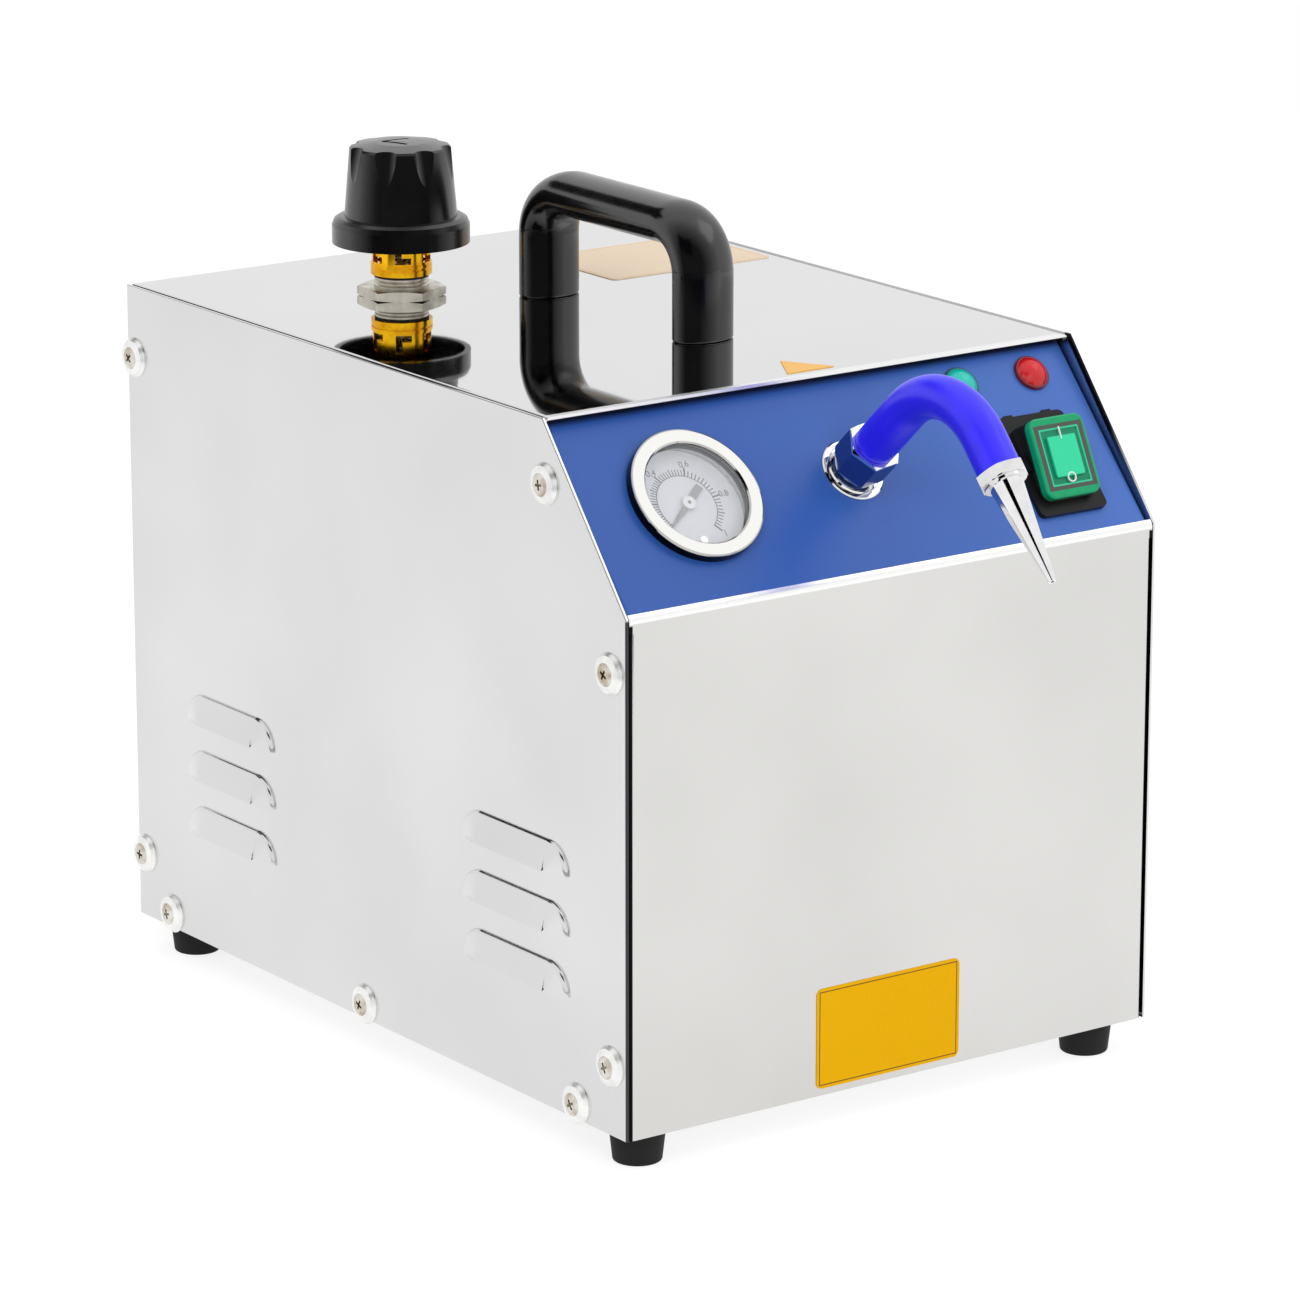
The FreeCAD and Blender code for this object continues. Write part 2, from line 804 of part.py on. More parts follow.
def front_panel():
    """Upright front sheet, folded back along its sides and over at its top."""
    length = z_slope - z_bottom
    pan = folded_pan(2 * fold_half, length, (flange_depth, flange_depth, 0, 0))
    pan = placed(pan, Placement(Vector(0, y_front, z_bottom + length / 2), Rotation(X_AXIS, 90)))
    trim = wall_zone(z_bottom, z_bottom + sheet + tray_wall + flange_spacing,
                     y_front + bend_radius, y_rear)
    pan = pan.cut(trim)
    pan = pan.cut(wall_zone(z_bottom, z_top, y_front + bend_radius, y_rear).common(
        slope_band(flange_spacing)))
    start = Vector(-fold_half, y_front, z_slope)
    inner_corner = start + Vector(0, sheet, -sheet * math.tan(math.radians(slope_angle / 2)))
    end = start + slope_up * lip_length
    foot = lip_radius * 2
    lip = prism([start - Z_AXIS * foot, start, end, end - slope_out * sheet, inner_corner,
                 start + Y_AXIS * sheet - Z_AXIS * foot], X_AXIS * 2 * fold_half)
    ridge = [edge for edge in lip.Edges
             if all(abs(v.Point.z - z_slope) < 0.01 and abs(v.Point.y - y_front) < 0.01
                    for v in edge.Vertexes)]
    lip = lip.makeFillet(lip_radius, ridge)
    cap_zone = box(-half_width, half_width, y_front - 1, y_front + slope_run,
                   z_slope - foot, z_slope + 1)
    return cut(fuse([pan.cut(cap_zone), lip]), flange_holes())


def top_cover():
    """Polished top sheet with side flanges, bored for the filler and the handle."""
    length = y_rear - y_slope_top
    pan = folded_pan(2 * fold_half, length, (flange_depth, flange_depth, 0, 0))
    pan.translate(Vector(0, y_slope_top + length / 2, z_top))
    walls = wall_zone(z_bottom, z_top - bend_radius, y_slope_top - 1, y_rear + 1)
    pan = pan.cut(walls.common(slope_band(flange_spacing)))
    rear_end = y_rear - sheet - flange_spacing
    pan = pan.cut(wall_zone(z_bottom, z_top - bend_radius, rear_end, y_rear + 1))
    holes = [rod(neck_radius + hole_gap, Vector(filler_x, filler_y, z_top - 5), Z_AXIS, 10)]
    for y in handle_legs():
        holes.append(rod(handle_bolt_radius + hole_gap, Vector(handle_x, y, z_top - 5), Z_AXIS, 10))
    return cut(pan, holes + flange_holes())


def rear_panel():
    """Rear sheet under the top cover, with the drain, inlet and pedal openings."""
    top = z_top - sheet - seat_gap
    length = top - z_bottom
    pan = folded_pan(2 * fold_half, length, (flange_depth, flange_depth, flange_depth, 0))
    pan = placed(pan, Placement(Vector(0, y_rear, z_bottom + length / 2), Rotation(X_AXIS, -90)))
    low = wall_zone(z_bottom, z_bottom + sheet + tray_wall + flange_spacing,
                    0, y_rear - bend_radius)
    high = wall_zone(z_top - flange_depth - flange_spacing, z_top, 0, y_rear - bend_radius)
    tools = [low, high]
    tools += corner_notches(z_top - bend_radius - corner_relief, z_top, flange_depth + 1)
    tools.append(rod(drain_pipe_radius + hole_gap, Vector(boiler_x, y_rear - 5, drain_z), Y_AXIS, 10))
    tools.append(rod(pedal_radius + hole_gap, Vector(pedal_x, y_rear - 5, z_bottom + pedal_up),
                     Y_AXIS, 10))
    inlet_z = z_bottom + inlet_up
    wide, tall = inlet_body_width / 2 + hole_gap, inlet_body_height / 2 + hole_gap
    tools.append(box(inlet_x - wide, inlet_x + wide, y_rear - 5, y_rear + 5,
                     inlet_z - tall, inlet_z + tall))
    for side in (-1, 1):
        start = Vector(inlet_x + side * inlet_screw_pitch / 2, y_rear - 5, inlet_z)
        tools.append(rod(inlet_screw_radius + thread_gap, start, Y_AXIS, 10))
    return cut(pan, tools + flange_holes())


def base_tray():
    """Floor of the cabinet with upturned edges, bored for the feet."""
    length = cabinet_depth - 2 * sheet - 2 * seat_gap
    pan = folded_pan(2 * fold_half, length, (tray_wall + sheet,) * 4)
    pan = placed(pan, Placement(Vector(0, 0, z_bottom), Rotation(X_AXIS, 180)))
    holes = [rod(foot_screw_radius + hole_gap, Vector(x, y, z_bottom - 1), Z_AXIS, 5)
             for x, y in foot_places()]
    return cut(pan, holes + flange_holes() + corner_notches(z_bottom - 1, z_bottom + 2 * tray_wall))


def control_panel():
    """Painted panel set into the slope, folded back along its sides."""
    lower, upper = control_panel_span()
    pan = folded_pan(2 * fold_half, upper - lower, (panel_flange, panel_flange, 0, 0))
    pan.translate(Vector(0, (upper + lower) / 2, 0))
    below = 30.0
    holes = [rod(gauge_case_radius + hole_gap, Vector(gauge_x, gauge_up, -below), Z_AXIS, 2 * below),
             rod(fitting_thread_radius + hole_gap, Vector(spout_x, spout_up, -below), Z_AXIS,
                 2 * below)]
    for x in (lamp_red_x, lamp_green_x):
        holes.append(rod(lamp_body_radius + hole_gap, Vector(x, lamp_up, -below), Z_AXIS, 2 * below))
    holes.append(rounded_block(switch_body_width + 2 * hole_gap, switch_body_length + 2 * hole_gap,
                               -below, below, 1.5, switch_x, switch_up))
    pan = on_panel(cut(pan, holes))
    corner = wall_zone(z_bottom, z_top, y_front - 5, y_front + sheet + seat_gap)
    x, z = fold_half - bend_radius - corner_relief, z_top - bend_radius - fold_gap
    folds = [box(x0, x0 + half_width, y_front, y_rear, z, z_top) for x0 in (x, -x - half_width)]
    return cut(pan, [corner] + folds + flange_holes())


def cup_washer():
    """Finishing washer about Z, its flat side at z = 0."""
    shoulder = washer_radius - (washer_radius - washer_top_radius) * 0.35
    return turned([(screw_radius + hole_gap, 0), (washer_radius, 0), (washer_radius, 0.35),
                   (shoulder, washer_height * 0.72), (washer_top_radius, washer_height),
                   (screw_head_radius + thread_gap, washer_height),
                   (screw_head_radius + thread_gap, washer_height - 0.5),
                   (screw_radius + hole_gap, washer_height - 2.1)])


def cross_screw():
    """Raised countersunk screw about Z, seated in the finishing washer."""
    head = turned([(0, -screw_length), (screw_radius, -screw_length), (screw_radius, 0.25),
                   (screw_head_radius, washer_height - 0.5), (screw_head_radius, washer_height),
                   (screw_head_radius * 0.7, washer_height + 0.55), (0, washer_height + 0.75)])
    slot, reach = 0.95, 1.95
    cross = [box(-reach, reach, -slot / 2, slot / 2, washer_height - 1.0, washer_height + 1),
             box(-slot / 2, slot / 2, -reach, reach, washer_height - 1.0, washer_height + 1)]
    return cut(head, cross)


def side_fasteners(blank):
    """One fastener blank at every screw place on both sides."""
    copies = []
    for side in (-1, 1):
        for index, (y, z) in enumerate(side_screw_places()):
            spin = Rotation(Z_AXIS, 25 + 37 * index)
            turn = Rotation(Y_AXIS, 90 * side)
            place = Placement(Vector(side * half_width, y, z), turn.multiply(spin))
            copies.append(placed(blank, place))
    return group(copies)


def foot_places():
    """(x, y) of the feet: front left, front right, rear left, rear right."""
    x = half_width - foot_inset_x
    y = cabinet_depth / 2 - foot_inset_y
    return [(-x, -y), (x, -y), (-x, y), (x, y)]


def foot(x, y):
    """Rubber foot, counterbored from below for its screw."""
    body = Part.makeCone(foot_bottom_radius, foot_top_radius, foot_height, Vector(x, y, 0))
    rim = [edge for edge in body.Edges if edge.BoundBox.ZMax < 0.01]
    body = body.makeFillet(1.0, rim)
    bore = rod(foot_bore_radius, Vector(x, y, 0), Z_AXIS, foot_bore_depth)
    hole = rod(foot_screw_radius + hole_gap, Vector(x, y, 0), Z_AXIS, foot_height)
    return cut(body, [bore, hole])


def foot_screws():
    """Screws and nuts that hold the feet to the tray."""
    pieces = []
    for x, y in foot_places():
        shank = rod(foot_screw_radius, Vector(x, y, foot_bore_depth), Z_AXIS, foot_screw_length)
        head = rod(foot_screw_head, Vector(x, y, foot_bore_depth - 2.5), Z_AXIS, 2.5)
        slot = box(x - 3, x + 3, y - 0.5, y + 0.5, foot_bore_depth - 2.5, foot_bore_depth - 1.2)
        pieces.append(fuse([shank, head]).cut(slot))
        nut = hexagon(8.0, 0, 4.0, 0, 0.5).cut(rod(foot_screw_radius + thread_gap, Vector(), Z_AXIS, 4))
        nut.translate(Vector(x, y, z_floor))
        pieces.append(nut)
    return group(pieces)


def handle_legs():
    """y of the handle's rear and front legs."""
    return [handle_centre_y + handle_span / 2, handle_centre_y - handle_span / 2]


def oval(centre, normal, wide, thick_axis):
    """Filled oval, wide along X, in the plane through centre square to normal."""
    curve = Part.Ellipse(centre + wide * handle_width / 2,
                         centre + thick_axis * handle_thickness / 2, centre)
    return Part.Face(Part.Wire(curve.toShape()))


def handle():
    """Bridge handle: two legs, two bends and a bar of one oval section."""
    rear, front = handle_legs()
    straight = handle_rise - handle_bend
    pieces = []
    for y, inward in ((rear, -1), (front, 1)):
        base = Vector(handle_x, y, z_top)
        section = oval(base, Z_AXIS, X_AXIS, Y_AXIS)
        pieces.append(section.extrude(Z_AXIS * straight))
        top = oval(base + Z_AXIS * straight, Z_AXIS, X_AXIS, Y_AXIS)
        centre = Vector(handle_x, y + inward * handle_bend, z_top + straight)
        pieces.append(top.revolve(centre, X_AXIS * -inward, 90))
    end = oval(Vector(handle_x, rear - handle_bend, z_top + handle_rise), Y_AXIS, X_AXIS, Z_AXIS)
    pieces.append(end.extrude(Y_AXIS * -(handle_span - 2 * handle_bend)))
    body = fuse(pieces)
    rims = [edge for edge in body.Edges if edge.BoundBox.ZMax < z_top + 0.01]
    body = body.makeFillet(handle_edge, rims)
    bores = [rod(handle_bolt_radius + thread_gap, Vector(handle_x, y, z_top - 1), Z_AXIS,
                 handle_bolt_depth + 1.5) for y in (rear, front)]
    return cut(body, bores)


def handle_bolts():
    """Bolts and washers under the top sheet that hold the handle."""
    pieces = []
    under = z_top - sheet
    for y in handle_legs():
        ring = upright_ring(handle_washer_radius, handle_bolt_radius + hole_gap, handle_x, y,
                            under - handle_washer, under)
        head = hexagon(2 * handle_bolt_head, 0, handle_bolt_head_height, 0, 0.5)
        head.translate(Vector(handle_x, y, under - handle_washer - handle_bolt_head_height))
        shank = rod(handle_bolt_radius, Vector(handle_x, y, under - handle_washer - 1), Z_AXIS,
                    handle_washer + sheet + handle_bolt_depth + 1)
        pieces += [ring, fuse([head, shank])]
    return group(pieces)


def label_front():
    """Blank amber plate low on the front."""
    plate = rounded_block(label_front_width, label_front_height, 0, label_thickness, label_radius)
    place = Placement(Vector(label_front_x, y_front, z_bottom + label_front_up), Rotation(X_AXIS, 90))
    return placed(plate, place)


def labels_top():
    """Blank cream plate and a small blank amber triangle on the top."""
    plate = rounded_block(label_top_width, label_top_depth, 0, label_thickness, label_radius)
    plate.translate(Vector(label_top_x, label_top_y, z_top))
    radius = label_corner_side / math.sqrt(3)
    corners = []
    for index in range(3):
        angle = math.radians(90 + 120 * index)
        corners.append(Vector(label_corner_x + radius * math.cos(angle),
                              label_corner_y + radius * math.sin(angle), z_top))
    return group([plate, prism(corners, Z_AXIS * label_thickness)])


# ---------------------------------------------------------------- filler and cap
def filler_neck():
    """Threaded neck welded to the boiler and standing through the top sheet."""
    start = boiler_z + boiler_radius * 0.9
    neck = upright_ring(neck_radius, neck_bore, filler_x, filler_y, start, neck_top)
    neck = neck.cut(rod(boiler_radius + thread_gap, Vector(boiler_x, boiler_front, boiler_z),
                        Y_AXIS, boiler_length))
    grooves = []
    height = z_top + locknut_height + 0.5
    while height + neck_thread_pitch < neck_top:
        middle = height + neck_thread_pitch / 2
        groove = turned([(neck_radius + 0.1, height + 0.15),
                         (neck_radius + 0.1, height + neck_thread_pitch - 0.15),
                         (neck_radius - neck_thread_depth, middle)])
        groove.translate(Vector(filler_x, filler_y, 0))
        grooves.append(groove)
        height += neck_thread_pitch
    return cut(neck, grooves)


def filler_locknuts():
    """Thin hexagon nuts above and below the top sheet."""
    pieces = []
    for z in (z_top, z_top - sheet - locknut_height):
        nut = hexagon(locknut_flats, 0, locknut_height, locknut_turn, nut_chamfer)
        nut.translate(Vector(filler_x, filler_y, z))
        bore = rod(neck_radius + thread_gap, Vector(filler_x, filler_y, z - 1), Z_AXIS,
                   locknut_height + 2)
        pieces.append(nut.cut(bore))
    return group(pieces)


def cap_seal():
    """Flat gasket between the neck's rim and the cap's flange."""
    return upright_ring(neck_radius, seal_inner_radius, filler_x, filler_y, neck_top, cage_base)


def vent_cage():
    """Brass plug of the cap: a grooved flange under a cylinder with vent windows."""
    flange_top = cage_base + cage_flange_height
    groove = cage_base + cage_flange_height * 0.5
    inner = cage_radius - cage_wall
    shell = turned([(plug_bore, cage_base - plug_depth), (plug_radius, cage_base - plug_depth),
                    (plug_radius, cage_base), (cage_flange_radius, cage_base),
                    (cage_flange_radius, groove),
                    (cage_flange_radius - cage_groove_depth, groove),
                    (cage_flange_radius - cage_groove_depth, groove + cage_groove_width),
                    (cage_flange_radius, groove + cage_groove_width),
                    (cage_flange_radius, flange_top), (cage_radius, flange_top),
                    (cage_radius, cage_top), (0, cage_top), (0, cage_top - cage_wall),
                    (inner, cage_top - cage_wall), (inner, cage_base + 1.5),
                    (plug_bore, cage_base + 1.5)])
    sill = flange_top + cage_window_sill
    half = cage_window_width / 2
    window = fuse([box(inner - 1, cage_radius + 1, -half, half, sill, sill + cage_window_foot),
                   box(inner - 1, cage_radius + 1, -half, cage_window_leg - half,
                       sill, sill + cage_window_height)])
    windows = []
    for index in range(cage_window_count):
        turn = Rotation(Z_AXIS, FULL_TURN / cage_window_count * index)
        windows.append(placed(window, Placement(Vector(), turn)))
    shell = cut(shell, windows)
    shell.translate(Vector(filler_x, filler_y, 0))
    return shell


def relief_poppet():
    """Spring-loaded relief disc on the plug's inner seat."""
    seat = cage_base + 1.5
    stem_top = cage_top - cage_wall - poppet_gap
    poppet = turned([(0, seat), (poppet_radius, seat), (poppet_radius, seat + poppet_thickness),
                     (poppet_stem_radius, seat + poppet_thickness),
                     (poppet_stem_radius, stem_top), (0, stem_top)])
    poppet.translate(Vector(filler_x, filler_y, 0))
    return poppet


def relief_spring():
    """Coil spring between the poppet and the cage's roof, in tilted half turns."""
    margin = spring_wire / 2 + spring_clearance
    low = cage_base + 1.5 + poppet_thickness + margin
    high = cage_top - cage_wall - margin
    climb = (high - low) / (2 * spring_turns)
    halves = []
    for index in range(2 * spring_turns):
        side = 1 if index % 2 == 0 else -1
        start = Vector(filler_x + side * spring_radius, filler_y, low + climb * index)
        across = Vector(-2 * side * spring_radius, 0, climb)
        disc = Part.Face(Part.Wire(Part.makeCircle(spring_wire / 2, start, Y_AXIS)))
        halves.append(disc.revolve(start + across * 0.5, Y_AXIS.cross(across) * side, 180))
    return fuse(halves)


def cap_knob():
    """Fluted black knob with a hollow skirt."""
    base = z_top + knob_bottom_rise
    shoulder = base + knob_skirt_height
    top = z_top + knob_top_rise
    body = turned([(0, base), (knob_skirt_radius, base),
                   (knob_skirt_radius, shoulder - 3.0), (knob_skirt_radius - 0.9, shoulder - 1.0),
                   (knob_skirt_radius - 2.6, shoulder), (knob_body_radius, shoulder + 0.4),
                   (knob_top_radius, top - knob_crown - 0.8), (knob_top_radius - 0.9, top - knob_crown),
                   (knob_top_radius * 0.5, top - 0.35), (0, top)])
    taper = math.atan2(knob_body_radius - knob_top_radius, top - shoulder)
    lean = math.degrees(math.atan2(knob_flute_depth, knob_flute_length) + taper)
    flutes = []
    for index in range(knob_flute_count):
        angle = knob_flute_turn + FULL_TURN / knob_flute_count * index
        axis = Rotation(Y_AXIS, -lean)
        reach = knob_top_radius - knob_flute_depth + knob_flute_radius
        length = knob_flute_length + 8
        flute = rod(knob_flute_radius, Vector(0, 0, -length), Z_AXIS, length + 4)
        flute = placed(flute, Placement(Vector(reach, 0, top), axis))
        flutes.append(placed(flute, Placement(Vector(), Rotation(Z_AXIS, angle))))
    body = cut(body, flutes)
    hollow = rod(knob_skirt_radius - knob_wall, Vector(0, 0, base - 1), Z_AXIS, knob_skirt_hollow + 1)
    pocket = rod(cage_radius + knob_fit, Vector(0, 0, base), Z_AXIS, cage_top - base)
    body = cut(body, [hollow, pocket])
    arms = []
    for side in (-1, 1):
        arm = box(0, knob_mark_reach, -knob_mark_stroke / 2, knob_mark_stroke / 2,
                  top - knob_mark_depth - 0.35, top + 1)
        arms.append(placed(arm, Placement(Vector(-knob_mark_offset, 0, 0),
                                          Rotation(Z_AXIS, knob_mark_spread * side))))
    mark = placed(fuse(arms), Placement(Vector(), Rotation(Z_AXIS, knob_mark_turn)))
    body = body.cut(mark)
    body.translate(Vector(filler_x, filler_y, 0))
    return body


# ---------------------------------------------------------------- pressure gauge
def at_gauge(shape):
    """Shape drawn about Z moved to the gauge's place on the panel."""
    return on_panel(placed(shape, Placement(Vector(gauge_x, gauge_up, 0), Rotation())))


def gauge_bezel():
    """Polished ring with a stepped inner wall that holds the glass."""
    glass_top = bezel_height - bezel_lip
    glass_bottom = glass_top - gauge_glass_thickness
    seat = gauge_case_radius - gauge_case_wall
    return at_gauge(turned([(gauge_case_radius + 0.1, 0), (bezel_radius, 0),
                            (bezel_radius, bezel_height - 0.8), (bezel_radius - 0.25, bezel_height - 0.25),
                            (bezel_radius - 0.8, bezel_height), (bezel_opening + 0.6, bezel_height),
                            (bezel_opening, bezel_height - 0.5), (bezel_opening, glass_top),
                            (seat + 0.1, glass_top), (seat + 0.1, glass_bottom - 0.2),
                            (gauge_case_radius + 0.1, glass_bottom - 0.2)]))


def gauge_glass():
    """Clear disc under the bezel's lip."""
    top = bezel_height - bezel_lip
    return at_gauge(rod(gauge_case_radius - gauge_case_wall, Vector(0, 0, top - gauge_glass_thickness),
                        Z_AXIS, gauge_glass_thickness))


def gauge_case():
    """Steel can of the gauge, closed at the back."""
    top = bezel_height - bezel_lip - gauge_glass_thickness - 0.2
    inner = gauge_case_radius - gauge_case_wall
    return at_gauge(turned([(gauge_stem_radius + thread_gap, -gauge_case_depth),
                            (gauge_case_radius, -gauge_case_depth), (gauge_case_radius, top),
                            (inner, top), (inner, -gauge_case_depth + gauge_case_wall),
                            (gauge_stem_radius + thread_gap, -gauge_case_depth + gauge_case_wall)]))


def gauge_dial():
    """White dial plate with its fixing screw and a spindle hole."""
    face = -dial_drop
    plate = rod(dial_radius, Vector(0, 0, face - dial_thickness), Z_AXIS, dial_thickness)
    hole = rod(spindle_radius + thread_gap, Vector(0, 0, face - 2), Z_AXIS, 4)
    screw = rod(dial_screw_radius, Vector(0, -dial_screw_drop, face - 0.1), Z_AXIS, 0.8)
    return at_gauge(fuse([plate.cut(hole), screw]))


def gauge_needle():
    """Pointer, hub and spindle, turned to the dial's zero."""
    low = -dial_drop + needle_lift
    half, tail, tip = needle_width / 2, needle_tail_width / 2, needle_tip_width / 2
    blade = prism([Vector(0, -half, low), Vector(-needle_tail, -tail, low),
                   Vector(-needle_tail, tail, low), Vector(0, half, low),
                   Vector(needle_length, tip, low), Vector(needle_length, -tip, low)],
                  Z_AXIS * needle_thickness)
    hub = rod(needle_hub_radius, Vector(0, 0, low), Z_AXIS, needle_hub_height)
    depth = dial_thickness + needle_lift + 2.0
    spindle = rod(spindle_radius, Vector(0, 0, low - depth), Z_AXIS, depth + 0.1)
    needle = fuse([blade, hub, spindle])
    return at_gauge(placed(needle, Placement(Vector(), Rotation(Z_AXIS, needle_rest_angle))))


def gauge_movement():
    """Socket with its stem through the case, Bourdon tube, movement plate and pillars."""
    under = -dial_drop - dial_thickness
    plate_top = under - 1.2
    plate = rod(9.0, Vector(0, 0, plate_top - 1.5), Z_AXIS, 1.5)
    hole = rod(spindle_radius + thread_gap, Vector(0, 0, plate_top - 5), Z_AXIS, 10)
    pillars = [rod(1.5, Vector(x, y, plate_top - 0.5), Z_AXIS, under - plate_top + 0.5)
               for x, y in ((-6.0, 3.0), (6.0, 3.0), (0, -6.5))]
    back = -gauge_case_depth + gauge_case_wall
    block = box(-4.5, 4.5, -4.5, 4.5, back, plate_top - 1.0).cut(
        rod(spindle_radius + thread_gap, Vector(0, 0, plate_top - 4), Z_AXIS, 4))
    circle = Part.Face(Part.Wire(Part.makeCircle(bourdon_tube, Vector(bourdon_radius, 0, back + 6),
                                                 Y_AXIS)))
    coil = circle.revolve(Vector(0, 0, 0), Z_AXIS, 250)
    arm = box(3, bourdon_radius, -1.5, 1.5, back + 5, back + 7)
    end = -gauge_case_depth - gauge_stem_length
    stem = rod(gauge_stem_radius, Vector(0, 0, end), Z_AXIS, back - end + 0.5)
    flats = hexagon(gauge_nut_flats - 2, end, end + 5, 0, 0.5)
    bore = rod(gauge_tube_radius + thread_gap, Vector(0, 0, end - 1), Z_AXIS, 9)
    movement = fuse([plate.cut(hole), block, coil, arm, stem, flats] + pillars)
    return at_gauge(movement.cut(bore))


def gauge_clamp():
    """Bridge behind the panel that draws the gauge against it."""
    back = -gauge_case_depth
    leg_out = gauge_case_radius + 1.0 + clamp_sheet
    half = clamp_width / 2
    bar = box(-leg_out, leg_out, -half, half, back - clamp_sheet, back)
    legs = [box(-leg_out, clamp_sheet - leg_out, -half, half, back, -sheet),
            box(leg_out - clamp_sheet, leg_out, -half, half, back, -sheet)]
    hole = rod(gauge_stem_radius + hole_gap, Vector(0, 0, back - 5), Z_AXIS, 10)
    nut = hexagon(gauge_nut_flats, back - clamp_sheet - 4, back - clamp_sheet, 0, 0.6)
    nut = nut.cut(rod(gauge_stem_radius + thread_gap, Vector(0, 0, back - 10), Z_AXIS, 12))
    return group([at_gauge(fuse([bar] + legs).cut(hole)), at_gauge(nut)])


# ---------------------------------------------------------------- spout
def at_spout(shape):
    """Shape drawn about Z moved to the spout's place on the panel."""
    return on_panel(placed(shape, Placement(spout_start, Rotation())))


def along_spout(shape, distance):
    """Shape drawn about Z moved to a distance along the spout."""
    point, direction = spout_point(distance)
    return on_panel(placed(shape, Placement(point, Rotation(Z_AXIS, direction))))


def spout_route(first, last):
    """Corner points of the centreline between two distances, for bent_solid."""
    start = spout_point(first)[0]
    setback = spout_bend * math.tan(math.radians(spout_turn) / 2)
    corner = spout_start + Vector(0, 0, spout_straight + setback)
    return [start, corner, spout_point(last)[0]]


def spout_washer():
    """Polished ring under the spout nut."""
    return at_spout(turned([(spout_washer_hole, 0), (spout_washer_radius, 0),
                            (spout_washer_radius, spout_washer_rim - 0.4),
                            (spout_washer_radius - 0.5, spout_washer_rim),
                            (spout_washer_step, spout_washer_rim),
                            (spout_washer_step - 0.4, spout_washer_thickness),
                            (spout_washer_hole + 0.9, spout_washer_thickness),
                            (spout_washer_hole, 1.0)]))


def spout_fitting():
    """Bulkhead fitting through the panel that carries the swivelling pipe."""
    inner = rod(fitting_thread_radius, Vector(0, 0, -fitting_inner_length), Z_AXIS,
                fitting_inner_length)
    neck = rod(fitting_neck_radius, Vector(0, 0, 0), Z_AXIS, union_nut_base)
    stub = rod(fitting_thread_radius, Vector(0, 0, union_nut_base), Z_AXIS, 7.0)
    passage = rod(pipe_bore, Vector(0, 0, -fitting_inner_length), Z_AXIS,
                  fitting_inner_length + union_nut_base + union_nut_height)
    socket = rod(pipe_radius + swivel_gap, Vector(0, 0, pipe_start), Z_AXIS, 30)
    return at_spout(cut(fuse([inner, neck, stub]), [passage, socket]))


def spout_nut():
    """Hexagon union nut that holds the pipe in the fitting."""
    top = union_nut_base + union_nut_height
    nut = hexagon(union_nut_flats, union_nut_base, top, union_nut_turn, union_nut_chamfer)
    thread = rod(fitting_thread_radius + thread_gap, Vector(0, 0, 0), Z_AXIS, union_nut_base + 7.2)
    bore = rod(pipe_radius + swivel_gap, Vector(0, 0, 0), Z_AXIS, top + 1)
    return at_spout(cut(nut, [thread, bore]))


def fitting_backnut():
    """Nut behind the panel that fixes the bulkhead fitting."""
    nut = hexagon(union_nut_flats, -sheet - backnut_height, -sheet, 0, nut_chamfer)
    bore = rod(fitting_thread_radius + thread_gap, Vector(0, 0, -20), Z_AXIS, 20)
    return at_spout(nut.cut(bore))


def spout_pipe():
    """Bent steam pipe inside the blue sleeve."""
    route = spout_route(pipe_start, nozzle_start)
    return on_panel(bent_tube(route, spout_bend, pipe_radius, pipe_bore))


def spout_sleeve():
    """Heat-guard sleeve over the pipe."""
    route = spout_route(sleeve_start, sleeve_end)
    return on_panel(bent_tube(route, spout_bend, sleeve_radius, pipe_radius + thread_gap))


def spout_ferrule():
    """Hexagon collar that closes the sleeve and takes the nozzle."""
    collar = hexagon(ferrule_flats, 0, ferrule_length - ferrule_rim, 10, 0.5)
    rim = rod(ferrule_rim_radius, Vector(0, 0, ferrule_length - ferrule_rim), Z_AXIS, ferrule_rim)
    bore = rod(pipe_radius + thread_gap, Vector(0, 0, -1), Z_AXIS, ferrule_length + 2)
    return along_spout(fuse([collar, rim]).cut(bore), sleeve_end)


def nozzle():
    """Long polished cone with a fine bore."""
    cone = Part.makeCone(nozzle_radius, nozzle_tip_radius, nozzle_length)
    bore = Part.makeCone(pipe_bore, nozzle_bore, nozzle_length)
    return along_spout(cone.cut(bore), nozzle_start)


# ---------------------------------------------------------------- lamps and switch
def lamp_lens(x):
    """Domed lens with a narrow rim."""
    radius = (lamp_dome_radius ** 2 + lamp_dome_height ** 2) / (2 * lamp_dome_height)
    ball = Part.makeSphere(radius, Vector(0, 0, lamp_rim_height + lamp_dome_height - radius))
    dome = ball.common(rod(lamp_dome_radius, Vector(0, 0, lamp_rim_height - 0.2), Z_AXIS, 10))
    rim = rod(lamp_rim_radius, Vector(), Z_AXIS, lamp_rim_height)
    edge = [e for e in rim.Edges if e.BoundBox.ZMin > lamp_rim_height - 0.01]
    rim = rim.makeFillet(0.7, edge)
    lens = fuse([rim, dome])
    lens.translate(Vector(x, lamp_up, 0))
    return on_panel(lens)


def lamp_holders():
    """Bodies and nuts of both lamps behind the panel."""
    pieces = []
    for x in (lamp_red_x, lamp_green_x):
        body = rod(lamp_body_radius, Vector(0, 0, -lamp_body_depth), Z_AXIS, lamp_body_depth)
        tabs = [box(s * 2.5 - 0.4, s * 2.5 + 0.4, -1.4, 1.4, -lamp_body_depth - 6, -lamp_body_depth)
                for s in (-1, 1)]
        nut = hexagon(lamp_nut_flats, -sheet - lamp_nut_height, -sheet, 0, 0.5)
        nut = nut.cut(rod(lamp_body_radius + thread_gap, Vector(0, 0, -10), Z_AXIS, 10))
        for piece in (fuse([body] + tabs), nut):
            piece.translate(Vector(x, lamp_up, 0))
            pieces.append(on_panel(piece))
    return group(pieces)


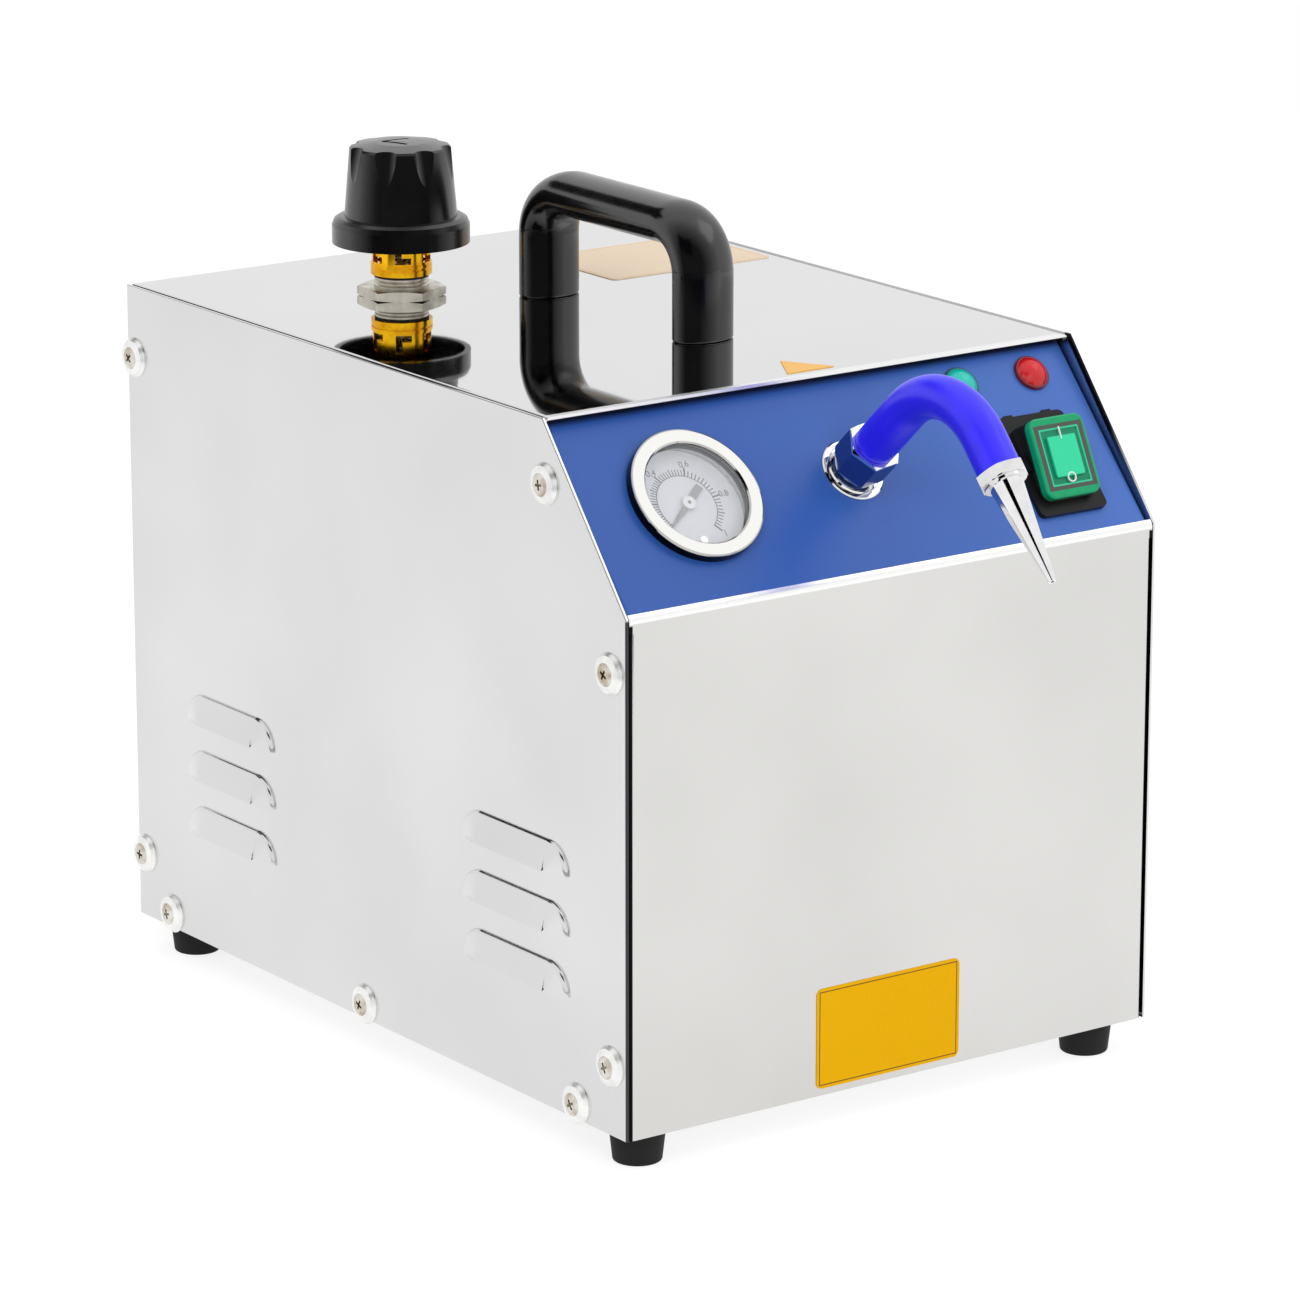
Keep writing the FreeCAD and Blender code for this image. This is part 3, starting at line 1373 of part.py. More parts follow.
def at_switch(shape):
    """Shape drawn about the switch's centre moved to its place on the panel."""
    return on_panel(placed(shape, Placement(Vector(switch_x, switch_up, 0), Rotation())))


def switch_housing():
    """Switch body through the panel with a flange, clips and ears for the rocker's pin."""
    flange = rounded_block(switch_width, switch_length, 0, switch_flange, 2.5)
    body = rounded_block(switch_body_width, switch_body_length, -switch_body_depth, 0.5, 1.0)
    well = box(-well_half_width, well_half_width, -well_half_length, well_half_length,
               -switch_well_depth, switch_flange + 1)
    half = rocker_ear_width / 2
    top = rocker_pivot + rocker_ear_top
    ears = [box(well_half_width, ear_reach, -half, half, 0, top),
            box(-ear_reach, -well_half_width, -half, half, 0, top)]
    edge = switch_length / 2
    clips = [box(side * clip_offset - clip_width / 2, side * clip_offset + clip_width / 2,
                 edge - 1, edge + clip_reach, 0, clip_height) for side in (-1, 1)]
    pin = rod(rocker_pin_radius + thread_gap, Vector(-ear_reach - thread_gap, 0, rocker_pivot), X_AXIS,
              2 * (ear_reach + thread_gap))
    housing = fuse([flange, body] + clips).cut(well)
    return at_switch(fuse([housing] + ears).cut(pin))


def on_rocker(shape):
    """Shape drawn about the pivot moved to the switch, tilted to its off position."""
    return at_switch(placed(shape, Placement(Vector(0, 0, rocker_pivot),
                                             Rotation(X_AXIS, rocker_tilt))))


def rocker_cap():
    """Rocker's rimmed cover with a trough around the seat of its window."""
    low = rocker_face - rocker_thickness
    cap = rounded_block(rocker_width, rocker_length, low, rocker_face, 4.0)
    rim = [edge for edge in cap.Edges if edge.BoundBox.ZMin > rocker_face - 0.01]
    cap = cap.makeFillet(0.9, rim)
    seat = rounded_block(window_width, window_length, rocker_face - window_depth, rocker_face + 1, 1.0)
    trough = rounded_block(trough_width, trough_length, rocker_face - trough_depth, rocker_face + 1, 1.0)
    return on_rocker(cut(cap, [seat, trough]))


def rocker_boot():
    """Rubber boot under the cover: a plate, a grooved skirt and the pivot pin."""
    top = rocker_face - rocker_thickness
    low = top - boot_plate
    plate = rounded_block(rocker_width + 2 * boot_margin, rocker_length + 2 * boot_margin,
                          low, top, 4.2)
    skirt = rod(boot_radius, Vector(-boot_half_width, 0, 0), X_AXIS, 2 * boot_half_width)
    skirt = skirt.common(box(-boot_half_width, boot_half_width, -boot_radius, boot_radius,
                             -boot_drop, low + 0.1))
    grooves = []
    for index in range(boot_groove_count):
        high = boot_groove_start - index * (boot_ridge + boot_groove)
        slab = box(-switch_width, switch_width, -switch_width, switch_width, high - boot_groove, high)
        x, y = boot_half_width - boot_groove, boot_radius - 2 * boot_groove
        grooves.append(slab.cut(box(-x, x, -y, y, high - switch_width, high + switch_width)))
    pin = rod(rocker_pin_radius, Vector(-ear_reach, 0, 0), X_AXIS, 2 * ear_reach)
    return on_rocker(fuse([plate, cut(skirt, grooves), pin]))


def rocker_window():
    """Translucent window in the rocker's face."""
    window = rounded_block(window_width, window_length, rocker_face - window_depth,
                           rocker_face + window_proud, 1.0)
    rim = [edge for edge in window.Edges if edge.BoundBox.ZMin > rocker_face + window_proud - 0.01]
    return on_rocker(window.makeFillet(0.4, rim))


def switch_terminals():
    """Push-on tabs behind the switch."""
    tabs = []
    for x in (-7.0, 7.0):
        for y in (-10.0, 10.0):
            tab = box(x - terminal_width / 2, x + terminal_width / 2, y - terminal_thickness / 2,
                      y + terminal_thickness / 2, -switch_body_depth - terminal_length,
                      -switch_body_depth)
            tabs.append(at_switch(tab))
    return group(tabs)


# ---------------------------------------------------------------- boiler
def boiler_axis(y):
    """Point on the boiler's axis."""
    return Vector(boiler_x, y, boiler_z)


def port_places():
    """(x, y, radius) of everything that stands on the boiler's top."""
    return [(filler_x, filler_y, neck_radius), (boiler_x, steam_port_y, port_radius),
            (boiler_x, safety_valve_y, port_radius), (boiler_x, pressure_switch_y, port_radius),
            (gauge_tap_x, gauge_tap_y, gauge_tube_radius), (boiler_x, thermostat_y, thermostat_radius)]


def boiler_shell():
    """Cylinder of the boiler with its upper ports."""
    shell = tube(boiler_radius, boiler_radius - boiler_wall, boiler_axis(boiler_front), Y_AXIS,
                 boiler_length)
    ports = [rod(neck_bore, Vector(filler_x, filler_y, boiler_z), Z_AXIS, 2 * boiler_radius)]
    for x, y, radius in port_places()[1:4]:
        ports.append(rod(radius * 0.5, Vector(x, y, boiler_z), Z_AXIS, 2 * boiler_radius))
    ports.append(rod(gauge_tube_bore, Vector(gauge_tap_x, gauge_tap_y, boiler_z), Z_AXIS,
                     2 * boiler_radius))
    return cut(shell, ports)


def dished_end(outward):
    """Dished end of the boiler; outward is -1 at the front and 1 at the back."""
    rise = boiler_dish
    sphere = (boiler_radius ** 2 + rise ** 2) / (2 * rise)
    outer = Part.makeSphere(sphere, Vector(0, 0, rise - sphere))
    inner = Part.makeSphere(sphere - boiler_wall, Vector(0, 0, rise - sphere))
    dish = outer.cut(inner).common(rod(boiler_radius, Vector(), Z_AXIS, rise + 1))
    y = boiler_front if outward < 0 else boiler_back
    return placed(dish, Placement(boiler_axis(y), Rotation(X_AXIS, -90 * outward)))


def boiler_end_front():
    """Front dished end with the heater's boss."""
    boss_start = boiler_front - boiler_dish - 2.0
    boss = rod(heater_flange_radius, boiler_axis(boss_start), Y_AXIS, 8.0)
    sphere = (boiler_radius ** 2 + boiler_dish ** 2) / (2 * boiler_dish)
    keep_out = Part.makeSphere(sphere - boiler_wall,
                               boiler_axis(boiler_front - boiler_dish + sphere))
    port = rod(heater_port, boiler_axis(boss_start - 1), Y_AXIS, 20.0)
    return cut(fuse([dished_end(-1), boss.cut(keep_out)]), [port])


def boiler_end_rear():
    """Rear dished end, bored for the drain."""
    hole = rod(drain_pipe_bore, Vector(boiler_x, boiler_back - 5, drain_z), Y_AXIS, 40)
    return dished_end(1).cut(hole)


def boiler_jacket():
    """Insulation round the boiler, open at every port."""
    jacket = tube(jacket_outer, boiler_radius + jacket_gap, boiler_axis(boiler_front), Y_AXIS,
                  boiler_length)
    holes = [rod(radius + 1.0, Vector(x, y, boiler_z), Z_AXIS, 2 * boiler_radius)
             for x, y, radius in port_places()]
    return cut(jacket, holes)


def cradle_rows():
    """y of the two cradles."""
    return [boiler_centre_y - cradle_offset, boiler_centre_y + cradle_offset]


def boiler_cradles():
    """Folded brackets on the tray that carry the boiler."""
    pieces = []
    half = cradle_width / 2
    seat = rod(jacket_outer + strap_thickness + 0.1, boiler_axis(-cabinet_depth), Y_AXIS,
               2 * cabinet_depth)
    for y in cradle_rows():
        web = box(boiler_x - half, boiler_x + half, y - cradle_thickness / 2,
                  y + cradle_thickness / 2, z_floor, z_floor + cradle_height)
        sole = box(boiler_x - half, boiler_x + half, y - cradle_thickness / 2,
                   y + cradle_foot, z_floor, z_floor + cradle_thickness)
        pieces.append(fuse([web, sole]).cut(seat))
    return group(pieces)


def boiler_straps():
    """Steel bands that tie the boiler and its jacket to the cradles."""
    bands = []
    for y in cradle_rows():
        start = boiler_axis(y - strap_width / 2)
        bands.append(tube(jacket_outer + strap_thickness, jacket_outer + 0.05, start, Y_AXIS,
                          strap_width))
    return group(bands)


def heater_element():
    """Bent heating rods with their terminals, through the flange."""
    low = boiler_z - heater_drop
    face = boiler_front - boiler_dish - 2.0 - heater_flange_thickness
    route = [Vector(boiler_x - heater_spacing, face - heater_terminal, low),
             Vector(boiler_x - heater_spacing, face + heater_reach, low),
             Vector(boiler_x + heater_spacing, face + heater_reach, low),
             Vector(boiler_x + heater_spacing, face - heater_terminal, low)]
    return bent_solid(route, heater_spacing - 0.5, heater_rod)


def heater_flange():
    """Bolted disc that carries the heating rods."""
    face = boiler_front - boiler_dish - 2.0 - heater_flange_thickness
    disc = rod(heater_flange_radius, boiler_axis(face), Y_AXIS, heater_flange_thickness)
    low = boiler_z - heater_drop
    holes = [rod(heater_rod + thread_gap, Vector(boiler_x + side * heater_spacing, face - 1, low),
                 Y_AXIS, heater_flange_thickness + 2) for side in (-1, 1)]
    return cut(disc, holes + heater_bolt_rods(heater_bolt_radius + thread_gap, face))


def heater_bolt_rods(radius, face):
    """Rods on the heater's bolt circle."""
    rods = []
    for index in range(heater_bolt_count):
        angle = math.radians(30 + FULL_TURN / heater_bolt_count * index)
        start = boiler_axis(face) + Vector(heater_bolt_circle * math.cos(angle), 0,
                                           heater_bolt_circle * math.sin(angle))
        rods.append(rod(radius, start, Y_AXIS, heater_flange_thickness))
    return rods


def heater_bolts():
    """Bolts of the heater's flange."""
    face = boiler_front - boiler_dish - 2.0 - heater_flange_thickness
    bolts = []
    for shank in heater_bolt_rods(heater_bolt_radius, face):
        centre = shank.BoundBox.Center
        head = placed(hexagon(7.0, 0, 3.0, 0, 0.4),
                      Placement(Vector(centre.x, face, centre.z), Rotation(X_AXIS, 90)))
        bolts.append(fuse([shank, head]))
    return group(bolts)


def on_boiler(shape, x, y, gap=thread_gap):
    """Shape drawn about Z stood on the boiler's top, cut to its curve with a gap."""
    shape = placed(shape, Placement(Vector(x, y, boiler_z), Rotation()))
    barrel = rod(boiler_radius + gap, boiler_axis(boiler_front), Y_AXIS, boiler_length)
    return shape.cut(barrel)


def safety_valve():
    """Spring safety valve with its pull ring."""
    base = boiler_radius
    body = turned([(0, base - 4), (port_radius, base - 4), (port_radius, base + port_height - 3),
                   (safety_valve_radius, base + port_height),
                   (safety_valve_radius, base + safety_valve_height - 6),
                   (5.0, base + safety_valve_height), (0, base + safety_valve_height)])
    stem = rod(1.5, Vector(0, 0, base + safety_valve_height - 1), Z_AXIS, 6)
    middle = base + safety_valve_height + 5 + safety_ring_radius
    ring = Part.makeTorus(safety_ring_radius, 1.0, Vector(0, 0, middle), X_AXIS)
    return on_boiler(fuse([body, stem, ring]), boiler_x, safety_valve_y)


def pressure_switch():
    """Pressure switch that ends the heating at working pressure."""
    base = boiler_radius
    start = base + port_height
    stub = rod(port_radius, Vector(0, 0, base - 4), Z_AXIS, port_height + 4)
    can = rod(pressure_switch_radius, Vector(0, 0, start), Z_AXIS, pressure_switch_height)
    top = start + pressure_switch_height
    tabs = [box(x - 0.4, x + 0.4, -3.1, 3.1, top, top + 8) for x in (-6.0, 6.0)]
    return on_boiler(fuse([stub, can] + tabs), boiler_x, pressure_switch_y)


def thermostat():
    """Thermal cut-out held on the boiler wall."""
    base = boiler_radius
    disc = rod(thermostat_radius, Vector(0, 0, base - 2), Z_AXIS, thermostat_height + 2)
    tabs = [box(x - 0.4, x + 0.4, -3.1, 3.1, base + thermostat_height, base + thermostat_height + 7)
            for x in (-4.5, 4.5)]
    return on_boiler(fuse([disc] + tabs), boiler_x, thermostat_y)


def gauge_tube():
    """Thin tube from the boiler to the gauge."""
    depth = gauge_case_depth + gauge_stem_length
    start = panel_frame.multVec(Vector(gauge_x, gauge_up, -depth + 6))
    knee = panel_frame.multVec(Vector(gauge_x, gauge_up, -depth - 12))
    over = Vector(gauge_tap_x, gauge_tap_y, knee.z)
    down = Vector(gauge_tap_x, gauge_tap_y, boiler_z + boiler_radius * 0.5)
    pipe = bent_tube([start, knee, over, down], tube_bend, gauge_tube_radius, gauge_tube_bore)
    return pipe.cut(rod(boiler_radius + thread_gap, boiler_axis(boiler_front), Y_AXIS, boiler_length))


def steam_tube():
    """Tube from the boiler's steam port to the solenoid valve."""
    end = solenoid_start + solenoid_length
    start = panel_frame.multVec(Vector(spout_x, spout_up, -end))
    knee = panel_frame.multVec(Vector(spout_x, spout_up, -end - 12))
    over = Vector(boiler_x, steam_port_y, knee.z)
    down = Vector(boiler_x, steam_port_y, boiler_z + boiler_radius * 0.9)
    pipe = bent_tube([start, knee, over, down], tube_bend, steam_tube_radius, steam_tube_bore)
    return pipe.cut(rod(boiler_radius + thread_gap, boiler_axis(boiler_front), Y_AXIS, boiler_length))


def steam_port():
    """Socket on the boiler that takes the steam tube."""
    base = boiler_radius
    socket = rod(port_radius, Vector(0, 0, base - 4), Z_AXIS, steam_port_height + 4)
    bore = rod(steam_tube_radius + thread_gap, Vector(0, 0, 0), Z_AXIS, 2 * base + 20)
    return on_boiler(socket.cut(bore), boiler_x, steam_port_y, -boiler_wall / 2)


# ---------------------------------------------------------------- solenoid valve
def solenoid_chamber():
    """Room for the plunger across the valve body, along X."""
    start = Vector(-plunger_radius, 0, -solenoid_start - solenoid_length / 2)
    return rod(plunger_radius + plunger_gap, start, X_AXIS,
               plunger_radius + plunger_length + plunger_stroke)


def solenoid_valve():
    """Brass valve block behind the spout fitting, with the core tube of its coil."""
    top = -solenoid_start
    half_x, half_y = solenoid_width / 2, solenoid_height / 2
    block = box(-half_x, half_x, -half_y, half_y, top - solenoid_length, top)
    nose = tube(fitting_thread_radius + 3, fitting_thread_radius + thread_gap,
                Vector(0, 0, top), Z_AXIS, solenoid_start - fitting_inner_length + 5)
    core = rod(solenoid_core_radius, Vector(half_x - 1, 0, top - solenoid_length / 2), X_AXIS,
               solenoid_coil_length + 3)
    outlet = rod(pipe_bore, Vector(0, 0, top - solenoid_length / 2), Z_AXIS, solenoid_length)
    inlet = rod(pipe_bore, Vector(0, 0, top - solenoid_length - 1), Z_AXIS, solenoid_length / 2)
    return at_spout(cut(fuse([block, nose, core]), [outlet, inlet, solenoid_chamber()]))


def solenoid_coil():
    """Moulded coil round the valve's core tube."""
    start = Vector(solenoid_width / 2 + solenoid_coil_gap, 0, -solenoid_start - solenoid_length / 2)
    coil = tube(solenoid_coil_radius, solenoid_core_radius + thread_gap, start, X_AXIS,
                solenoid_coil_length)
    x = solenoid_width / 2 + solenoid_coil_length / 2
    z = -solenoid_start - solenoid_length / 2 - solenoid_coil_radius
    tabs = [box(x - 3.1, x + 3.1, y - 0.4, y + 0.4, z - 7, z + 1) for y in (-4.0, 4.0)]
    return at_spout(fuse([coil] + tabs))


def solenoid_plunger():
    """Sliding plunger that opens the steam passage."""
    start = Vector(-plunger_radius, 0, -solenoid_start - solenoid_length / 2)
    return at_spout(rod(plunger_radius, start, X_AXIS, plunger_length))


# ---------------------------------------------------------------- drain valve
def at_drain(shape):
    """Shape drawn along Z moved behind the cabinet with Z turned to +Y."""
    place = Placement(Vector(boiler_x, drain_start, drain_z), Rotation(X_AXIS, -90))
    return placed(shape, place)


def drain_pipe():
    """Pipe from the boiler's rear end through the rear panel."""
    start = Vector(boiler_x, boiler_back - 10, drain_z)
    pipe = tube(drain_pipe_radius, drain_pipe_bore, start, Y_AXIS,
                drain_start + drain_socket - start.y)
    sphere = (boiler_radius ** 2 + boiler_dish ** 2) / (2 * boiler_dish)
    dome = Part.makeSphere(sphere - boiler_wall / 2, boiler_axis(boiler_back + boiler_dish - sphere))
    return pipe.cut(dome)


def drain_valve_body():
    """Brass ball valve body with the boss for its stem."""
    length = drain_body_length
    barrel = turned([(0, 0), (drain_body_radius - 1, 0), (drain_body_radius, 1),
                     (drain_body_radius, length - 1), (drain_body_radius - 1, length), (0, length)])
    socket = rod(drain_pipe_radius + thread_gap, Vector(0, 0, -1), Z_AXIS, drain_socket + 1)
    passage = rod(drain_bore, Vector(0, 0, 0), Z_AXIS, length)
    ball_room = drain_ball_radius + 0.4
    middle = length / 2
    chamber = rod(ball_room, Vector(0, 0, middle - ball_room), Z_AXIS, length - middle + ball_room)
    boss = rod(drain_boss_radius, Vector(0, -drain_body_radius + 2, middle), Vector(0, -1, 0),
               drain_boss_height)
    stem_hole = rod(drain_stem_radius + swivel_gap, Vector(0, 0, middle), Vector(0, -1, 0), 40)
    return at_drain(cut(fuse([barrel, boss]), [socket, passage, chamber, stem_hole]))


def drain_seats():
    """Sealing rings on both sides of the ball."""
    middle = drain_body_length / 2
    ball = Part.makeSphere(drain_ball_radius + drain_ball_gap, Vector(0, 0, middle))
    outer = drain_ball_radius + 0.35
    seats = []
    reach = drain_ball_radius + 0.4
    for start in (middle - reach, middle + reach - 2 * drain_seat_thickness):
        ring = tube(outer, drain_bore, Vector(0, 0, start), Z_AXIS, 2 * drain_seat_thickness)
        seats.append(at_drain(ring.cut(ball)))
    return group(seats)


def drain_spigot():
    """Hose spigot screwed into the valve behind the outer seat."""
    middle = drain_body_length / 2
    start = middle + drain_ball_radius + 0.4
    plug = rod(drain_ball_radius + 0.35, Vector(0, 0, start), Z_AXIS, drain_body_length - start)
    spout = rod(drain_spigot_radius, Vector(0, 0, drain_body_length), Z_AXIS, drain_spigot_length)
    passage = rod(drain_bore, Vector(0, 0, 0), Z_AXIS, drain_body_length + drain_spigot_length)
    return at_drain(fuse([plug, spout]).cut(passage))


def drain_ball():
    """Bored ball with its stem, closed across the pipe."""
    middle = Vector(0, 0, drain_body_length / 2)
    ball = Part.makeSphere(drain_ball_radius, middle)
    bore = rod(drain_bore, middle - X_AXIS * 20, X_AXIS, 40)
    top = drain_body_radius - 2 + drain_boss_height
    stem = rod(drain_stem_radius, middle + Vector(0, -drain_ball_radius + 1.5, 0), Vector(0, -1, 0),
               top - drain_ball_radius + 1.5 + drain_lever_thickness + 0.4)
    thread = rod(drain_stem_radius - 1, middle + Vector(0, -top, 0), Vector(0, -1, 0),
                 drain_lever_thickness + drain_nut_height + 1.0)
    return at_drain(fuse([cut(ball, [bore]), stem, thread]))


def lever_base():
    """Height above the drain's axis of the lever's underside."""
    return drain_body_radius - 2 + drain_boss_height + 0.3


def drain_lever():
    """Lever across the pipe when the valve is closed, with its grip bent up."""
    low = drain_z + lever_base()
    half = drain_lever_width / 2
    y = drain_ball_y
    flat = box(boiler_x - half, boiler_x + drain_lever_length, y - half, y + half, low,
               low + drain_lever_thickness)
    corners = [edge for edge in flat.Edges if abs(edge.tangentAt(0).z) > 0.9]
    flat = flat.makeFillet(half * 0.8, corners)
    hole = rod(drain_stem_radius + thread_gap, Vector(boiler_x, y, low - 1), Z_AXIS, 10)
    return flat.cut(hole)


def drain_lever_nut():
    """Nut on the valve's stem."""
    low = drain_z + lever_base() + drain_lever_thickness
    nut = hexagon(drain_nut_flats, 0, drain_nut_height, 0, 0.4)
    nut = nut.cut(rod(drain_stem_radius - 1 + thread_gap, Vector(0, 0, -1), Z_AXIS, 10))
    nut = nut.cut(rod(drain_stem_radius + thread_gap, Vector(0, 0, -1), Z_AXIS, 1.2))
    nut.translate(Vector(boiler_x, drain_ball_y, low))
    return nut


# ---------------------------------------------------------------- electrical fittings
def at_inlet(shape):
    """Shape drawn about Z moved to the inlet, Z turned to +Y and Y to -Z."""
    place = Placement(Vector(inlet_x, y_rear, z_bottom + inlet_up), Rotation(X_AXIS, -90))
    return placed(shape, place)


def power_inlet():
    """Recessed mains inlet with its flange."""
    flange = rounded_block(inlet_flange_width, inlet_flange_height, 0, inlet_flange, 4.0)
    body = rounded_block(inlet_body_width, inlet_body_height, -inlet_body_depth, 0.5, 1.5)
    floor = inlet_flange - inlet_recess_depth
    recess = rounded_block(inlet_recess_width, inlet_recess_height, floor, inlet_flange + 1, 1.5)
    holes = [rod(inlet_screw_radius + hole_gap, Vector(side * inlet_screw_pitch / 2, 0, -5), Z_AXIS, 20)
             for side in (-1, 1)]
    return at_inlet(cut(fuse([flange, body]), [recess] + holes))


def inlet_pins():
    """Three flat pins in the inlet, with their tabs behind."""
    floor = inlet_flange - inlet_recess_depth
    half_x, half_y = inlet_pin_width / 2, inlet_pin_height / 2
    pins = []
    for x, y in ((-inlet_pin_pitch, inlet_pin_offset), (inlet_pin_pitch, inlet_pin_offset),
                 (0, -inlet_pin_offset)):
        pins.append(at_inlet(box(x - half_x, x + half_x, y - half_y, y + half_y, floor,
                                 inlet_flange - 2.0)))
        pins.append(at_inlet(box(x - 0.4, x + 0.4, y - 3, y + 3,
                                 -inlet_body_depth - terminal_length, -inlet_body_depth)))
    return group(pins)


def inlet_screws():
    """Screws of the mains inlet."""
    screws = []
    for side in (-1, 1):
        x = side * inlet_screw_pitch / 2
        shank = rod(inlet_screw_radius, Vector(x, 0, -7), Z_AXIS, 7 + inlet_flange)
        head = rod(inlet_screw_radius * 1.9, Vector(x, 0, inlet_flange), Z_AXIS, 1.6)
        slot = box(x - 3, x + 3, -0.4, 0.4, inlet_flange + 0.8, inlet_flange + 3)
        screws.append(at_inlet(fuse([shank, head]).cut(slot)))
    return group(screws)


def at_pedal(shape):
    """Shape drawn about Z moved to the pedal socket, Z turned to +Y."""
    place = Placement(Vector(pedal_x, y_rear, z_bottom + pedal_up), Rotation(X_AXIS, -90))
    return placed(shape, place)


def pedal_socket():
    """Round chassis socket for the foot pedal."""
    flange = rod(pedal_flange_radius, Vector(0, 0, 0), Z_AXIS, pedal_flange)
    barrel = rod(pedal_radius, Vector(0, 0, -pedal_body_depth), Z_AXIS,
                 pedal_body_depth + pedal_flange + pedal_length)
    bore = rod(pedal_bore, Vector(0, 0, -pedal_body_depth), Z_AXIS, 60)
    nut = hexagon(20.0, -sheet - 3.0, -sheet, 0, 0.6).cut(
        rod(pedal_radius + thread_gap, Vector(0, 0, -10), Z_AXIS, 10))
    return group([at_pedal(fuse([flange, barrel]).cut(bore)), at_pedal(nut)])


def pedal_insert():
    """Insulator of the pedal socket with its two contacts."""
    insert = rod(pedal_bore - thread_gap, Vector(0, 0, -pedal_body_depth), Z_AXIS, pedal_body_depth)
    contacts = [rod(pedal_pin_radius, Vector(x, 0, -pedal_body_depth - 4), Z_AXIS,
                    pedal_body_depth + 9) for x in (-2.6, 2.6)]
    return at_pedal(fuse([insert] + contacts))


def control_relay():
    """Relay and level-control box on the tray."""
    case = rounded_block(relay_width, relay_length, z_floor, z_floor + relay_height, 3.0,
                         relay_x, relay_y)
    tabs = []
    for x in (-12.0, 0.0, 12.0):
        for y in (-18.0, 18.0):
            tabs.append(box(relay_x + x - 3.1, relay_x + x + 3.1, relay_y + y - 0.4,
                            relay_y + y + 0.4, z_floor + relay_height - 0.5,
                            z_floor + relay_height + 7))
    return fuse([case] + tabs)


def terminal_block():
    """Screw terminal strip on the tray."""
    half = terminal_block_width / 2
    start = terminal_block_y - terminal_block_length / 2
    pitch = terminal_block_length / terminal_block_ways
    strip = box(terminal_block_x - half, terminal_block_x + half, start,
                start + terminal_block_length, z_floor, z_floor + terminal_block_height)
    cuts = []
    for way in range(terminal_block_ways):
        y = start + pitch * (way + 0.5)
        for x in (-half * 0.5, half * 0.5):
            cuts.append(rod(2.4, Vector(terminal_block_x + x, y, z_floor + terminal_block_height - 6),
                            Z_AXIS, 10))
        if way:
            cuts.append(box(terminal_block_x - half - 1, terminal_block_x + half + 1,
                            start + pitch * way - 0.6, start + pitch * way + 0.6,
                            z_floor + terminal_block_height - 8, z_floor + terminal_block_height + 1))
    return cut(strip, cuts)


def earth_stud():
    """Earth stud with its nut on the tray."""
    stud = rod(2.5, Vector(earth_x, earth_y, z_floor), Z_AXIS, 16)
    nut = hexagon(8.0, 0, 4, 0, 0.5)
    nut.translate(Vector(earth_x, earth_y, z_floor))
    return fuse([stud, nut])


# ---------------------------------------------------------------- nodes
def feet():
    """The four rubber feet."""
    return group([foot(x, y) for x, y in foot_places()])


def cabinet_bolts():
    """Fasteners that come through the tray, the top and the rear panel."""
    return group([foot_screws(), handle_bolts(), inlet_screws(), earth_stud()])


def boiler_vessel():
    """Welded vessel: cylinder, dished ends, drain pipe and steam socket."""
    return fuse([boiler_shell(), boiler_end_front(), boiler_end_rear(), drain_pipe(), steam_port()])


nodes = {
    "side_panel_left": side_panel(-1),
    "side_panel_right": side_panel(1),
    "front_panel": front_panel(),
    "top_cover": top_cover(),
    "rear_panel": rear_panel(),
    "base_tray": base_tray(),
    "control_panel": control_panel(),
    "side_screws": side_fasteners(cross_screw()),
    "cup_washers": side_fasteners(cup_washer()),
    "cabinet_bolts": cabinet_bolts(),
    "feet": feet(),
    "handle": handle(),
    "label_front": label_front(),
    "labels_top": labels_top(),
    "filler_neck": filler_neck(),
    "filler_locknuts": filler_locknuts(),
    "cap_seal": cap_seal(),
    "vent_cage": vent_cage(),
    "relief_poppet": relief_poppet(),
    "relief_spring": relief_spring(),
    "cap_knob": cap_knob(),
    "gauge_bezel": gauge_bezel(),
    "gauge_glass": gauge_glass(),
    "gauge_case": gauge_case(),
    "gauge_dial": gauge_dial(),
    "gauge_needle": gauge_needle(),
    "gauge_movement": gauge_movement(),
    "gauge_clamp": gauge_clamp(),
    "spout_washer": spout_washer(),
    "spout_fitting": group([spout_fitting(), fitting_backnut()]),
    "spout_nut": spout_nut(),
    "spout_pipe": spout_pipe(),
    "spout_sleeve": spout_sleeve(),
    "spout_ferrule": spout_ferrule(),
    "nozzle": nozzle(),
    "lamp_red": lamp_lens(lamp_red_x),
    "lamp_green": lamp_lens(lamp_green_x),
    "lamp_holders": lamp_holders(),
    "switch_housing": switch_housing(),
    "rocker_boot": rocker_boot(),
    "rocker_cap": rocker_cap(),
    "rocker_window": rocker_window(),
    "boiler": boiler_vessel(),
    "boiler_jacket": boiler_jacket(),
    "boiler_mounts": group([boiler_cradles(), boiler_straps()]),
    "heater": group([heater_element(), heater_flange(), heater_bolts()]),
    "boiler_controls": group([pressure_switch(), thermostat()]),
    "safety_valve": safety_valve(),
    "steam_tubes": group([gauge_tube(), steam_tube()]),
    "solenoid_valve": solenoid_valve(),
    "solenoid_coil": solenoid_coil(),
    "solenoid_plunger": solenoid_plunger(),
    "drain_valve_body": group([drain_valve_body(), drain_seats()]),
    "drain_spigot": drain_spigot(),
    "drain_ball": drain_ball(),
    "drain_lever": group([drain_lever(), drain_lever_nut()]),
    "power_inlet": power_inlet(),
    "electrical_contacts": group([inlet_pins(), switch_terminals()]),
    "pedal_socket": group([pedal_socket(), pedal_insert()]),
    "control_modules": group([control_relay(), terminal_block()]),
}

os.makedirs("parts", exist_ok=True)
for name, shape in nodes.items():
    moved = shape.copy()
    moved.translate(origin_shift)
    moved.exportStep("parts/%s.step" % name)
